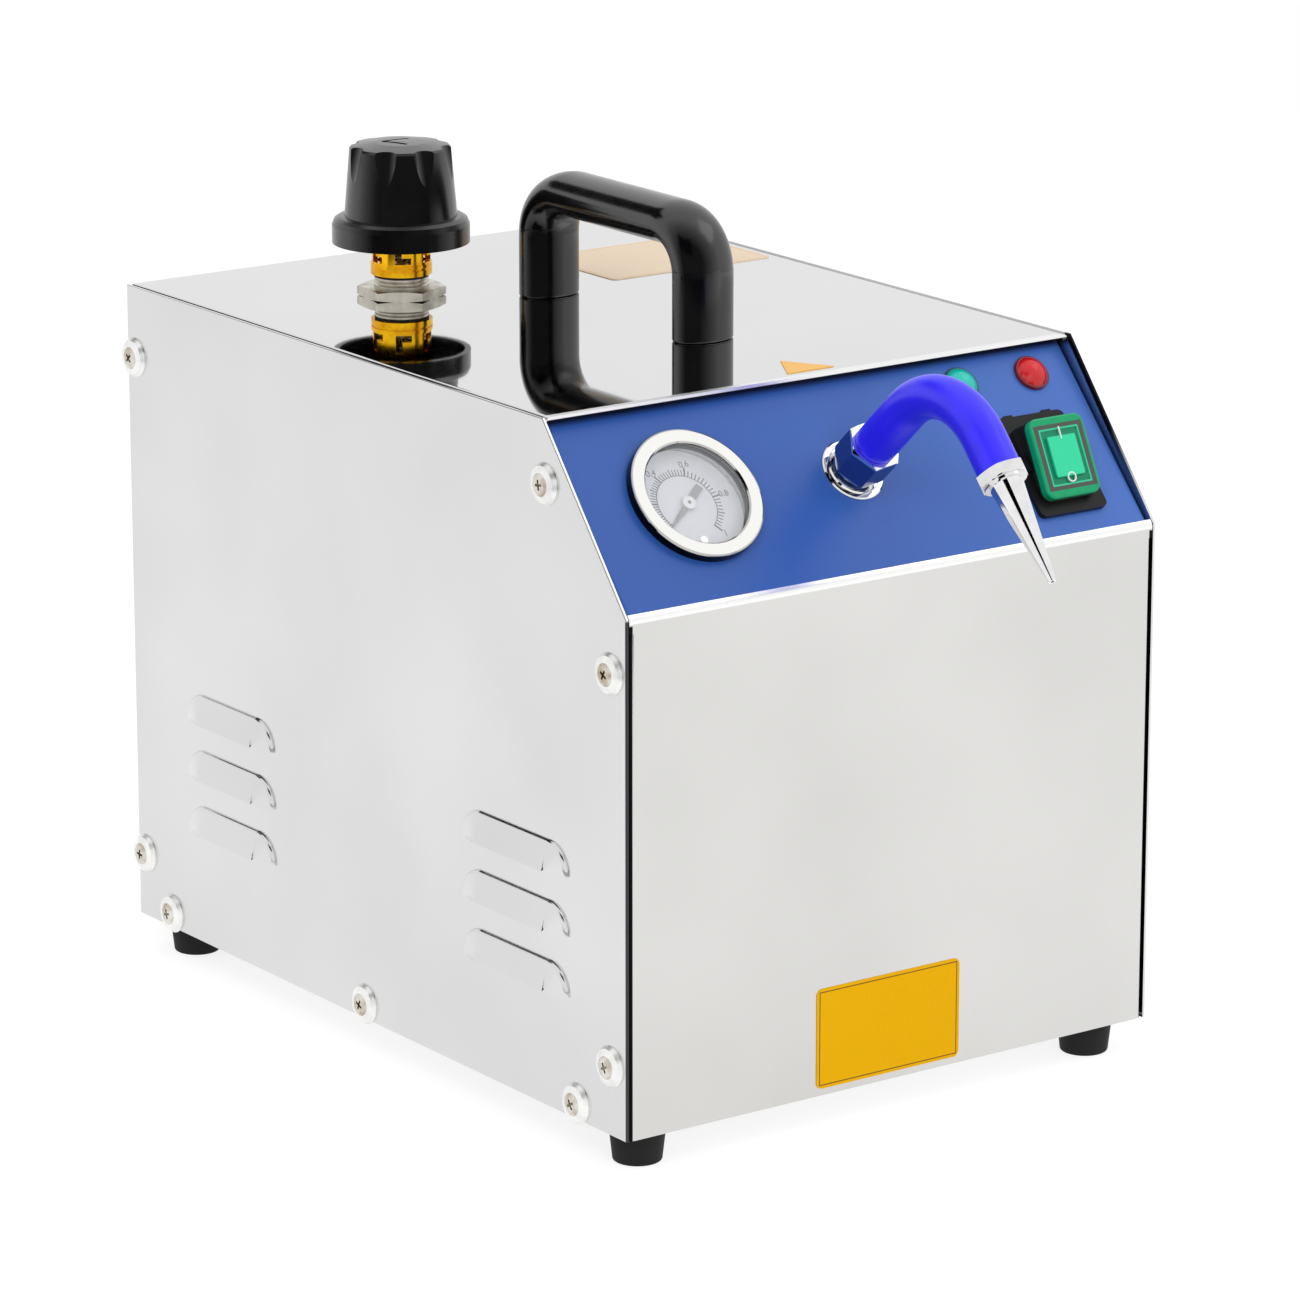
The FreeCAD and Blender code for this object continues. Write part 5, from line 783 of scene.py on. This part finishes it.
def dress(finish: Finish, name: str, *nodes: str) -> list[str]:
    """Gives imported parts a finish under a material's name, and returns their names."""
    material = finish.material(name)
    for node in nodes:
        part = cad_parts[node]
        if not part.material_slots:
            part.data.materials.append(material)
        for slot in part.material_slots:
            slot.material = material
    return list(nodes)


def mesh_object(mesh: bmesh.types.BMesh, name: str,
                material: bpy.types.Material) -> bpy.types.Object:
    """Makes an object of one material from a mesh, which is freed."""
    data = bpy.data.meshes.new(name)
    mesh.to_mesh(data)
    mesh.free()
    data.materials.append(material)
    return linked(name, data)


def linked(name: str, data: bpy.types.ID) -> bpy.types.Object:
    """A new object of the scene, made from a mesh, a light or a camera."""
    made = bpy.data.objects.new(name, data)
    bpy.context.scene.collection.objects.link(made)
    return made


def aimed(direction: Vector) -> Quaternion:
    """The turn that points a lamp or a camera in a direction."""
    return direction.to_track_quat("-Z", "Y")


def piece_from(mesh: bmesh.types.BMesh, name: str, place: Matrix, finish: Finish,
               body: str) -> bpy.types.Object:
    """Makes a shown piece from a mesh drawn about the origin.

    Args:
        mesh: the drawing, which is freed.
        name: the piece's name.
        place: transform to the row frame.
        finish: the finish.
        body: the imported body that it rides.

    Returns:
        The piece.
    """
    mesh.transform(place)
    bmesh.ops.recalc_face_normals(mesh, faces=mesh.faces)
    piece = mesh_object(mesh, name, finish.material(name + "_finish"))
    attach(piece, body)
    return piece


def add_block(mesh: bmesh.types.BMesh, corners: Iterable[tuple[float, float]], low: float,
              high: float) -> None:
    """Adds a straight-sided solid to a mesh.

    Args:
        mesh: the mesh.
        corners: the outline, counter-clockwise.
        low: height of its lower face.
        high: height of its upper face.
    """
    outline = list(corners)
    bottom = [mesh.verts.new((x, y, low)) for x, y in outline]
    top = [mesh.verts.new((x, y, high)) for x, y in outline]
    mesh.faces.new(list(reversed(bottom)))
    mesh.faces.new(top)
    for index in range(len(outline)):
        after = (index + 1) % len(outline)
        mesh.faces.new((bottom[index], bottom[after], top[after], top[index]))


def add_ring(mesh: bmesh.types.BMesh, inner: float, outer: float, low: float, high: float,
             start: float = 0.0, sweep: float = 2 * math.pi, steps: int = 96,
             centre: tuple[float, float] = (0.0, 0.0)) -> None:
    """Adds a flat ring, or an arc of one, to a mesh.

    Args:
        mesh: the mesh.
        inner: inner radius.
        outer: outer radius.
        low: height of its lower face.
        high: height of its upper face.
        start: angle at which it starts, in radians.
        sweep: angle that it covers.
        steps: how many pieces the sweep has.
        centre: the ring's middle.
    """
    closed = abs(sweep) > 2 * math.pi - 1e-6
    count = steps if closed else steps + 1
    loops = []
    for index in range(count):
        angle = start + sweep * index / steps
        cosine, sine = math.cos(angle), math.sin(angle)
        section = ((inner, low), (outer, low), (outer, high), (inner, high))
        loops.append([mesh.verts.new((centre[0] + radius * cosine,
                                      centre[1] + radius * sine, height))
                      for radius, height in section])
    for index in range(steps):
        here, there = loops[index], loops[(index + 1) % count]
        for corner in range(4):
            after = (corner + 1) % 4
            mesh.faces.new((here[corner], here[after], there[after], there[corner]))
    if not closed:
        mesh.faces.new(loops[0])
        mesh.faces.new(list(reversed(loops[-1])))


def add_text(mesh: bmesh.types.BMesh, words: str, size: float, place: Matrix) -> None:
    """Adds flat figures to a mesh.

    Args:
        mesh: the mesh.
        words: the figures.
        size: their nominal height.
        place: transform from the figures' own middle.
    """
    curve = bpy.data.curves.new("figures", "FONT")
    curve.body = words
    curve.size = size
    curve.align_x = "CENTER"
    curve.align_y = "CENTER"
    curve.extrude = 0.02 * MM
    holder = bpy.data.objects.new("figures", curve)
    flat = bpy.data.meshes.new_from_object(holder)
    flat.transform(place)
    mesh.from_mesh(flat)
    bpy.data.meshes.remove(flat)
    bpy.data.objects.remove(holder)
    bpy.data.curves.remove(curve)


# ------------------------------------------------------------------ sub-assemblies
class Assembly:
    """A sub-assembly of the machine."""

    def build(self) -> list[bpy.types.Object]:
        """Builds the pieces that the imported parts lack."""
        return []

    def dress(self) -> list[str]:
        """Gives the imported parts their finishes."""
        return []


@dataclass
class Cabinet(Assembly):
    """Folded steel cabinet with its sloping painted panel."""

    plate: float = 1.2 * MM
    # Near-black tint of the painted shade on the sheets.
    dark: Colour = (0.010, 0.010, 0.012)

    def painted_light_strips(self) -> dict[str, tuple[PaintedStrip, ...]]:
        """Painted shade and painted highlights on the sheets, by the sheet's name."""
        across, back = Vector((1.0, 0.0, 0.0)), Vector((0.0, 1.0, 0.0))
        low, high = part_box("side_panel_right")
        front_low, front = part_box("front_panel")
        cover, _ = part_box("top_cover")
        rise = Vector((0.0, SLOPE.run, SLOPE.rise)).normalized()
        outward = Vector((0.0, -SLOPE.rise, SLOPE.run)).normalized()
        corner = Vector((0.0, low.y + SLOPE.run, high.z))
        face, top, inside = corner.dot(outward), corner.dot(rise), high.x - self.plate
        knee = high.z - SLOPE.rise
        # Painted shade on the right plate's inner wall beside the recessed panel, fading out
        # down the slope.
        painted_wall_shade = PaintedStrip(((across, inside + 0.3 * MM, inside + 0.1 * MM),
                        (outward, face - 2.3 * MM, face - 1.9 * MM),
                        (rise, top - 78.0 * MM, top - 40.0 * MM)), self.dark, 0.3)
        # Painted shade: a dark line along the left plate's front edge below the slope, for the
        # corner gap.
        edge = PaintedStrip(((back, low.y + 0.5 * MM, low.y + 0.3 * MM),
                      (Z_UP, knee, knee - 0.6 * MM)), (0.06, 0.06, 0.062), 0.2)
        # Painted shade at the front sheet's bends into the sides, below its top.
        below = (Z_UP, front.z - 3.6 * MM, front.z - 4.0 * MM)
        bends = [PaintedStrip(((across * way, reach + 1.5 * MM, reach + 1.3 * MM), below),
                       self.dark, 0.3)
                 for way, reach in ((1.0, front_low.x), (-1.0, -front.x))]
        # Painted highlight on the bend at the front sheet's top.
        painted_fold_highlight = PaintedStrip(((Z_UP, front.z - 3.4 * MM, front.z - 3.0 * MM),), (0.95, 0.95, 0.94), 0.16)
        # Painted highlight along the top sheet's front edge.
        painted_lip_highlight = PaintedStrip(((back, cover.y + 3.0 * MM, cover.y + 2.6 * MM),), (0.86, 0.86, 0.86), 0.3)
        # Painted shade under the top sheet's front edge, over the panel.
        painted_hem_shade = PaintedStrip(((rise, top - 0.8 * MM, top - 1.0 * MM),
                     (outward, face - 1.6 * MM, face - 1.4 * MM)), self.dark, 0.3)
        return {"side_panel_left": (edge,), "side_panel_right": (painted_wall_shade,),
                "front_panel": (painted_fold_highlight, *bends), "top_cover": (painted_lip_highlight, painted_hem_shade)}

    def dress(self) -> list[str]:
        """Bright sides and front, mirror top, plain back and tray, painted panel; painted shade
        and highlights on the sheets, and painted light and shadow on the panel.
        """
        painted_light_strips = self.painted_light_strips()
        front_steel = SheetSteel(tint=(0.66, 0.655, 0.64), roughness=0.13,
                                 grain=(1.0, 40.0, 40.0), painted_strips=painted_light_strips["front_panel"])
        top_steel = SheetSteel(tint=(0.68, 0.68, 0.69), roughness=0.035,
                               grain=(1.0, 30.0, 30.0), grain_depth=5.0e-7, haze=0.02,
                               ripple=3.0e-5, painted_strips=painted_light_strips["top_cover"])
        paint = PowderCoat(SLOPE.point(0.0, 0.0, 0.0), SLOPE.up())
        left, right = (SheetSteel(painted_strips=painted_light_strips[f"side_panel_{side}"])
                       for side in ("left", "right"))
        return (dress(left, "side_sheet", "side_panel_left")
                + dress(right, "side_sheet_painted_shade", "side_panel_right")
                + dress(front_steel, "front_sheet", "front_panel")
                + dress(top_steel, "mirror_sheet", "top_cover")
                + dress(PLAIN_STEEL, "plain_sheet", "rear_panel", "base_tray")
                + dress(paint, "blue_powder", "control_panel"))


@dataclass
class Fasteners(Assembly):
    """Screws, finishing washers and bolts."""

    def dress(self) -> list[str]:
        """Bright washers and zinc-plated screws."""
        washer = Plate((0.93, 0.93, 0.91), 0.3)
        screw = Plate((0.74, 0.72, 0.67), 0.2, 2.0e-6, (0.42, 0.34, 0.22))
        return (dress(washer, "washer_steel", "cup_washers")
                + dress(screw, "screw_plate", "side_screws")
                + dress(ZINC, "bolt_zinc", "cabinet_bolts"))


@dataclass
class FeetAndHandle(Assembly):
    """Rubber feet and the carrying handle."""

    seam_rise: float = 26.5 * MM

    def dress(self) -> list[str]:
        """Rubber below, glossy phenolic above with the seams of its bends."""
        low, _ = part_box("handle")
        handle = replace(HANDLE_BLACK, seams=(low.z + self.seam_rise,))
        return dress(RUBBER, "foot_rubber", "feet") + dress(handle, "handle_phenolic", "handle")


@dataclass
class Labels(Assembly):
    """Blank films on the front and on the top."""

    corner_side: float = 40.0 * MM
    sheet_half: tuple[float, float] = (38.0 * MM, 27.0 * MM)

    def film(self, node: str, axes: tuple[Axis, Axis]) -> tuple[Vector, tuple[float, float]]:
        """Centre of a plate, and its half size along two axes."""
        low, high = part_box(node)
        half = (high - low) / 2
        return (low + high) / 2, (half[axes[0].value], half[axes[1].value])

    def dress(self) -> list[str]:
        """Amber film with a border on the front, cream and amber on the top."""
        upright, flat = (Axis.X, Axis.Z), (Axis.X, Axis.Y)
        centre, half = self.film("label_front", upright)
        amber = Film((1.0, 0.52, 0.001), (0.28, 0.13, 0.02), centre, half, upright)
        low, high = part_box("labels_top")
        centre = high - Vector((*self.sheet_half, 0.0))
        cream = Film((0.82, 0.66, 0.49), (0.75, 0.42, 0.16), centre, self.sheet_half, flat,
                     second=(0.88, 0.50, 0.13), second_below=low.y + self.corner_side)
        return (dress(amber, "amber_film", "label_front")
                + dress(cream, "cream_film", "labels_top"))


@dataclass
class FillerCap(Assembly):
    """Water filler: neck, nuts, seal, and the cap with its cage and knob."""

    def dress(self) -> list[str]:
        """Nickel neck and nuts, golden cage, dark moulded knob."""
        return (dress(NICKEL, "neck_nickel", "filler_neck", "filler_locknuts")
                + dress(RUBBER, "seal_rubber", "cap_seal")
                + dress(GOLD, "cage_gold", "vent_cage")
                + dress(BRASS, "poppet_brass", "relief_poppet")
                + dress(SPRING_STEEL, "spring_steel", "relief_spring")
                + dress(KNOB_BLACK, "knob_phenolic", "cap_knob"))


@dataclass
class PressureGauge(Assembly):
    """Pressure gauge set in the panel."""

    x: float = -69.3 * MM
    up: float = 42.9 * MM
    dial_drop: float = 5.0 * MM
    figure_angles: tuple[float, ...] = (217.0, 170.0, 122.0, 69.0, 6.5, -52.5)
    per_figure: int = 10
    step: float = 0.2
    line_radius: float = 12.0 * MM
    minor: tuple[float, float] = (2.4 * MM, 0.19 * MM)
    middle: tuple[float, float] = (2.8 * MM, 0.23 * MM)
    major: tuple[float, float] = (3.6 * MM, 0.32 * MM)
    figure_radius: float = 17.0 * MM
    figure_size: float = 3.5 * MM
    print_height: float = 0.04 * MM
    screw_drop: float = 14.8 * MM
    hub_radius: float = 2.62 * MM
    bezel_wall: float = 3.35 * MM

    def angle(self, division: int) -> float:
        """Angle of a division, anticlockwise from +X, in radians; the scale is uneven."""
        figure = min(division // self.per_figure, len(self.figure_angles) - 2)
        share = division / self.per_figure - figure
        before, after = self.figure_angles[figure:figure + 2]
        return math.radians(before + (after - before) * share)

    def build(self) -> list[bpy.types.Object]:
        """The dial's scale and its figures."""
        ink = Ink((0.012, 0.012, 0.015))
        place = SLOPE.frame(self.x, self.up, self.print_height - self.dial_drop)
        scale = bmesh.new()
        thick = 0.02 * MM
        divisions = self.per_figure * (len(self.figure_angles) - 1)
        start = self.angle(0)
        add_ring(scale, self.line_radius - 0.14 * MM, self.line_radius + 0.14 * MM, 0.0, thick,
                 start, self.angle(divisions) - start, 120)
        for division in range(divisions + 1):
            reach, half = self.minor
            if division % self.per_figure == 0:
                reach, half = self.major
            elif division % (self.per_figure // 2) == 0:
                reach, half = self.middle
            turn = Matrix.Rotation(self.angle(division), 2)
            inner, outer = self.line_radius + 0.02 * MM, self.line_radius + reach
            corners = [turn @ Vector(corner) for corner in
                       ((inner, -half), (outer, -half), (outer, half), (inner, half))]
            add_block(scale, corners, thick, 2 * thick)
        figures = bmesh.new()
        for mark, degrees in enumerate(self.figure_angles):
            angle = math.radians(degrees)
            shift = Matrix.Translation((self.figure_radius * math.cos(angle),
                                        self.figure_radius * math.sin(angle), 0.03 * MM))
            add_text(figures, f"{self.step * mark:.1g}", self.figure_size, shift)
        return [piece_from(scale, "dial_scale", place, ink, "cabinet"),
                piece_from(figures, "dial_figures", place, ink, "cabinet")]

    def dress(self) -> list[str]:
        """Chrome bezel with a painted dark reflection on its wall, stepped bright case with
        painted dark and bright rings for shade and highlights on its steps, painted dial, grey
        needle with a white hub.
        """
        out = SLOPE.out()
        middle = SLOPE.point(self.x, self.up, 0.0)
        screw = SLOPE.point(self.x, self.up - self.screw_drop, 0.0)
        needle = Ringed(middle, out, self.hub_radius, (0.80, 0.80, 0.80), (0.23, 0.23, 0.235),
                        inner_roughness=0.3, outer_roughness=0.4, core_radius=0.72 * MM,
                        core=(0.12, 0.12, 0.12))
        # The dark tone paints a dark reflection on the bezel's wall; on the case, dark and light
        # rings are painted shade and painted highlights.
        dark, light = (0.02, 0.02, 0.02), (0.78, 0.78, 0.78)
        bezel = Banded(middle, out, dark, ((self.bezel_wall, (0.52, 0.517, 0.50)),))
        case = Banded(middle, out, (0.42, 0.42, 0.43), (
            (-1.4 * MM, dark), (-1.1 * MM, light), (-0.5 * MM, dark), (-0.2 * MM, light),
            (0.6 * MM, dark)), 0.3, 0.2)
        return (dress(bezel, "bezel_chrome", "gauge_bezel")
                + dress(ClearGlass(), "gauge_window", "gauge_glass")
                + dress(case, "case_steel", "gauge_case")
                + dress(Dial(screw, out), "dial_paint", "gauge_dial")
                + dress(needle, "needle_paint", "gauge_needle")
                + dress(BRASS, "movement_brass", "gauge_movement")
                + dress(ZINC, "clamp_zinc", "gauge_clamp"))


@dataclass
class Spout(Assembly):
    """Steam spout with its blue sleeve."""

    x: float = 1.5 * MM
    up: float = 42.7 * MM
    nut_low: float = 5.1 * MM
    nut_high: float = 16.6 * MM

    def dress(self) -> list[str]:
        """Chrome fittings, nut with a painted navy reflection on its flats and a painted
        highlight on its chamfers and top, blue silicone, mirror-bright nozzle.
        """
        foot, out = SLOPE.point(self.x, self.up, 0.0), SLOPE.out()
        # Painted reflection of the blue panel on the nut's flats, and a painted highlight above
        # them.
        nut = Banded(foot, out, CHROME.colour, ((self.nut_low, (0.13, 0.18, 0.37)),
                                                (self.nut_high, (0.88, 0.88, 0.88))))
        return (dress(CHROME, "spout_chrome", "spout_washer", "spout_fitting", "spout_ferrule")
                + dress(nut, "nut_chrome", "spout_nut")
                + dress(Plate((0.88, 0.88, 0.89), 0.035), "nozzle_chrome", "nozzle")
                + dress(SPRING_STEEL, "pipe_steel", "spout_pipe")
                + dress(Silicone(), "blue_silicone", "spout_sleeve"))


@dataclass
class Lamps(Assembly):
    """Indicator lamps."""

    up: float = 69.4 * MM
    red_x: float = 98.4 * MM
    green_x: float = 65.2 * MM
    dome: float = 6.15 * MM

    def lens(self, x: float, colour: Colour, rim: Colour) -> Ringed:
        """Finish of one lens with painted shade at its rim."""
        # Painted shade: the dome turns to the darker colour beyond its radius.
        return Ringed(SLOPE.point(x, self.up, 0.0), SLOPE.out(), self.dome, colour, rim,
                      inner_roughness=0.12, outer_roughness=0.25, transmission=0.15)

    def dress(self) -> list[str]:
        """Red and green lenses with painted shade at their rims, black holders."""
        red = self.lens(self.red_x, (0.72, 0.010, 0.016), (0.20, 0.006, 0.010))
        green = self.lens(self.green_x, (0.008, 0.60, 0.50), (0.004, 0.12, 0.10))
        return (dress(red, "lens_red", "lamp_red") + dress(green, "lens_green", "lamp_green")
                + dress(SATIN_BLACK, "holder_black", "lamp_holders"))


@dataclass
class RockerSwitch(Assembly):
    """Rocker switch with its rubber boot and lit window."""

    x: float = 87.0 * MM
    up: float = 31.2 * MM
    pivot: float = 3.4 * MM
    face: float = 7.3 * MM
    proud: float = 0.5 * MM
    tilt: float = 16.0
    on_offset: float = 8.8 * MM
    on_length: float = 4.6 * MM
    off_offset: float = 8.2 * MM
    off_radius: float = 1.95 * MM
    mark_line: float = 0.5 * MM

    def rocker_frame(self) -> Matrix:
        """Transform from a drawing about the pivot to the tilted rocker."""
        return (SLOPE.frame(self.x, self.up, self.pivot)
                @ Matrix.Rotation(math.radians(self.tilt), 4, "X"))

    def build(self) -> list[bpy.types.Object]:
        """Raised on and off marks at the window's ends."""
        white = Ink((0.78, 0.80, 0.78), 0.35)
        place = self.rocker_frame()
        low, high = self.face - 0.02 * MM, self.face + self.proud + 0.12 * MM
        bar = bmesh.new()
        half, reach = self.mark_line / 2, self.on_length / 2
        add_block(bar, [(x, self.on_offset + y) for x, y in
                        ((-half, -reach), (half, -reach), (half, reach), (-half, reach))],
                  low, high)
        ring = bmesh.new()
        add_ring(ring, self.off_radius - self.mark_line, self.off_radius, low, high, steps=48,
                 centre=(0.0, -self.off_offset))
        return [piece_from(bar, "mark_on", place, white, "rocker"),
                piece_from(ring, "mark_off", place, white, "rocker")]

    def dress(self) -> list[str]:
        """Black housing and boot, dark green cover, pale green window."""
        place = self.rocker_frame()
        centre = place @ Vector((0.0, 0.0, self.face))
        across, along = place.to_3x3().col[0], place.to_3x3().col[1]
        pale, mid, bright = (0.03, 0.56, 0.30), (0.003, 0.22, 0.11), (0.030, 0.66, 0.34)
        cover = Panes((0.002, 0.36, 0.14), centre, across, along, (
            (11.3 * MM, 12.4 * MM, (0.070, 0.085, 0.070)), (9.2 * MM, 10.8 * MM, pale),
            (8.5 * MM, 10.1 * MM, mid)))
        window = Panes((0.006, 0.40, 0.21), centre, across, along,
                       ((6.4 * MM, 7.5 * MM, bright),))
        return (dress(SATIN_BLACK, "housing_black", "switch_housing")
                + dress(RUBBER, "boot_rubber", "rocker_boot")
                + dress(cover, "cover_green", "rocker_cap")
                + dress(window, "window_green", "rocker_window"))


@dataclass
class BoilerRoom(Assembly):
    """Boiler, valves and wiring blocks inside the cabinet."""

    def dress(self) -> list[str]:
        """Steel vessel in its wool, brass valves, copper tubes, moulded modules."""
        return (dress(PLAIN_STEEL, "vessel_steel", "boiler", "boiler_mounts")
                + dress(Wool(), "fibre_wool", "boiler_jacket")
                + dress(SPRING_STEEL, "heater_steel", "heater")
                + dress(GREY_PLASTIC, "module_grey", "boiler_controls", "control_modules")
                + dress(BRASS, "valve_brass", "safety_valve", "solenoid_valve")
                + dress(COPPER, "tube_copper", "steam_tubes")
                + dress(COIL_BLACK, "coil_black", "solenoid_coil")
                + dress(SPRING_STEEL, "plunger_steel", "solenoid_plunger"))


@dataclass
class RearFittings(Assembly):
    """Drain valve, mains inlet and pedal socket."""

    pedal_bore: float = 6.42 * MM

    def dress(self) -> list[str]:
        """Brass drain valve, black inlet, bright socket with a black insert."""
        low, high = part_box("pedal_socket")
        middle = (low + high) / 2
        socket = Ringed(middle, Vector((0.0, 1.0, 0.0)), self.pedal_bore, (0.015, 0.015, 0.016),
                        (0.64, 0.64, 0.63), outer_metal=1.0, inner_roughness=0.45,
                        outer_roughness=0.2)
        return (dress(BRASS, "drain_brass", "drain_valve_body", "drain_spigot")
                + dress(CHROME, "ball_chrome", "drain_ball")
                + dress(ZINC, "lever_zinc", "drain_lever")
                + dress(SATIN_BLACK, "inlet_black", "power_inlet")
                + dress(ZINC, "contact_zinc", "electrical_contacts")
                + dress(socket, "pedal_metal", "pedal_socket"))


# ------------------------------------------------------------------ studio
@dataclass
class Softbox:
    """One soft lamp."""

    name: str
    place: tuple[float, float, float]
    size: float
    watts: float
    target: tuple[float, float, float] = (0.0, 0.0, 0.14)

    def build(self) -> bpy.types.Object:
        """Makes the lamp, turned to its target."""
        light = bpy.data.lights.new(self.name, "AREA")
        light.shape = "SQUARE"
        light.size = self.size
        light.energy = self.watts
        lamp = linked(self.name, light)
        lamp.location = self.place
        lamp.rotation_mode = "QUATERNION"
        lamp.rotation_quaternion = aimed(Vector(self.target) - Vector(self.place))
        lamp.visible_glossy = False
        return lamp


@dataclass
class Card:
    """Curved studio card about an upright axis, seen only in glossy surfaces.

    Its two edges are (radius, height) pairs, and its bearings are in degrees from -Y
    towards +X. It is black unless it glows.
    """

    name: str
    bearings: tuple[float, float]
    lower: tuple[float, float]
    upper: tuple[float, float]
    glow: float = 0.0
    step: float = 4.0

    def build(self, axis: tuple[float, float]) -> bpy.types.Object:
        """Makes the card, bent about an upright axis at x and y."""
        start, end = self.bearings
        count = math.ceil((end - start) / self.step)
        mesh = bmesh.new()
        columns = []
        for index in range(count + 1):
            bearing = math.radians(start + (end - start) * index / count)
            columns.append([mesh.verts.new((axis[0] + radius * math.sin(bearing),
                                            axis[1] - radius * math.cos(bearing), height))
                            for radius, height in (self.lower, self.upper)])
        for here, there in zip(columns, columns[1:]):
            mesh.faces.new((here[0], there[0], there[1], here[1]))
        material = shaded_material(self.name, lambda graph: graph.glow(self.glow))
        card = mesh_object(mesh, self.name, material)
        card.visible_camera = False
        card.visible_diffuse = False
        card.visible_shadow = False
        card.visible_transmission = False
        return card


@dataclass
class Studio:
    """Pale floor, white surroundings, soft lamps and the camera."""

    eye: tuple[float, float, float] = (-1.31813, -1.82606, 0.75759)
    azimuth: float = -35.717
    elevation: float = 15.237
    lens: float = 170.646
    floor_size: float = 30.0
    floor_glow: float = 0.80
    floor_tone: float = 0.30
    ambient: float = 0.62
    corner: tuple[float, float] = (-0.12, -0.145)
    lamps: list[Softbox] = field(default_factory=lambda: [
        Softbox("key_lamp", (-1.5, -1.3, 1.9), 1.1, 14.0),
        Softbox("top_lamp", (0.15, 0.25, 2.0), 1.3, 6.0),
        Softbox("fill_lamp", (1.9, -1.2, 1.2), 1.2, 12.0),
        Softbox("front_lamp", (-0.6, -2.2, 0.9), 1.2, 14.0),
    ])
    cards: list[Card] = field(default_factory=lambda: [
        Card("floor_flag", (-98.0, 10.0), (0.7, 0.0006), (2.0, 0.0006)),
        Card("high_flag", (-80.0, -22.0), (1.6, 1.2), (1.6, 2.5)),
        Card("rear_flag", (172.0, 216.0), (1.9, 1.25), (1.9, 2.5)),
        Card("panel_card", (48.0, 95.0), (1.2, 1.15), (1.1, 2.2), 1.8),
    ])

    def build(self) -> None:
        """Builds the whole studio."""
        self.build_floor()
        for card in self.cards:
            card.build(self.corner)
        self.build_world()
        self.build_camera()
        for lamp in self.lamps:
            lamp.build()

    def seen_by_gloss(self, graph: Graph) -> Signal:
        """1 for camera, glossy and see-through rays."""
        node = graph.node("ShaderNodeLightPath")
        camera, gloss, through = (Signal(graph, node.outputs[f"Is {ray} Ray"])
                                  for ray in ("Camera", "Glossy", "Transmission"))
        return camera.most(gloss).most(through)

    def build_floor(self) -> None:
        """White floor that keeps the machine's shadow."""
        mesh = bmesh.new()
        half = self.floor_size / 2
        corners = ((-half, -half), (half, -half), (half, half), (-half, half))
        mesh.faces.new([mesh.verts.new((x, y, 0.0)) for x, y in corners])
        material = shaded_material("studio_floor", self.wire_floor)
        mesh_object(mesh, "studio_floor", material)

    def wire_floor(self, graph: Graph) -> Signal:
        """A matte floor, with a glow for the eye and the gloss."""
        matte = graph.shader("ShaderNodeBsdfDiffuse", {0: (self.floor_tone,) * 3})
        glow = graph.glow(self.seen_by_gloss(graph) * self.floor_glow)
        return graph.shader("ShaderNodeAddShader", {0: matte, 1: glow})

    def build_world(self) -> None:
        """White surroundings for the eye and the gloss, softer light for the rest."""
        world = bpy.data.worlds.new("studio_world")
        bpy.context.scene.world = world
        world.use_nodes = True
        graph = Graph(world.node_tree)
        seen = self.seen_by_gloss(graph)
        strength = seen * (1.0 - self.ambient) + self.ambient
        glow = graph.shader("ShaderNodeBackground", {0: WHITE, 1: strength})
        graph.node("ShaderNodeOutputWorld", {}, {0: glow})

    def build_camera(self) -> None:
        """Camera at the machine's front left."""
        data = bpy.data.cameras.new("camera")
        data.lens = self.lens
        data.sensor_width = 36.0
        data.clip_start, data.clip_end = 0.05, 60.0
        camera = linked("camera", data)
        across, up = math.radians(self.azimuth), math.radians(self.elevation)
        back = Vector((math.sin(across) * math.cos(up), -math.cos(across) * math.cos(up),
                       math.sin(up)))
        camera.location = self.eye
        camera.rotation_mode = "QUATERNION"
        camera.rotation_quaternion = aimed(-back)
        bpy.context.scene.camera = camera


def main() -> None:
    """Builds the studio and every sub-assembly, and reports each piece."""
    logging.basicConfig(level=logging.INFO, format="%(message)s")
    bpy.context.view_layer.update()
    bpy.context.scene.view_settings.view_transform = "Standard"
    Studio().build()
    assemblies = [Cabinet(), Fasteners(), FeetAndHandle(), Labels(), FillerCap(),
                  PressureGauge(), Spout(), Lamps(), RockerSwitch(), BoilerRoom(),
                  RearFittings()]
    dressed: list[str] = []
    for assembly in assemblies:
        title = type(assembly).__name__
        for piece in assembly.build():
            LOG.info("%s: built %s", title, piece.name)
        for node in assembly.dress():
            LOG.info("%s: dressed %s", title, node)
            dressed.append(node)
    for node in sorted(set(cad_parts) - set(dressed)):
        LOG.warning("left plain: %s", node)


if __name__ == "__main__":
    main()
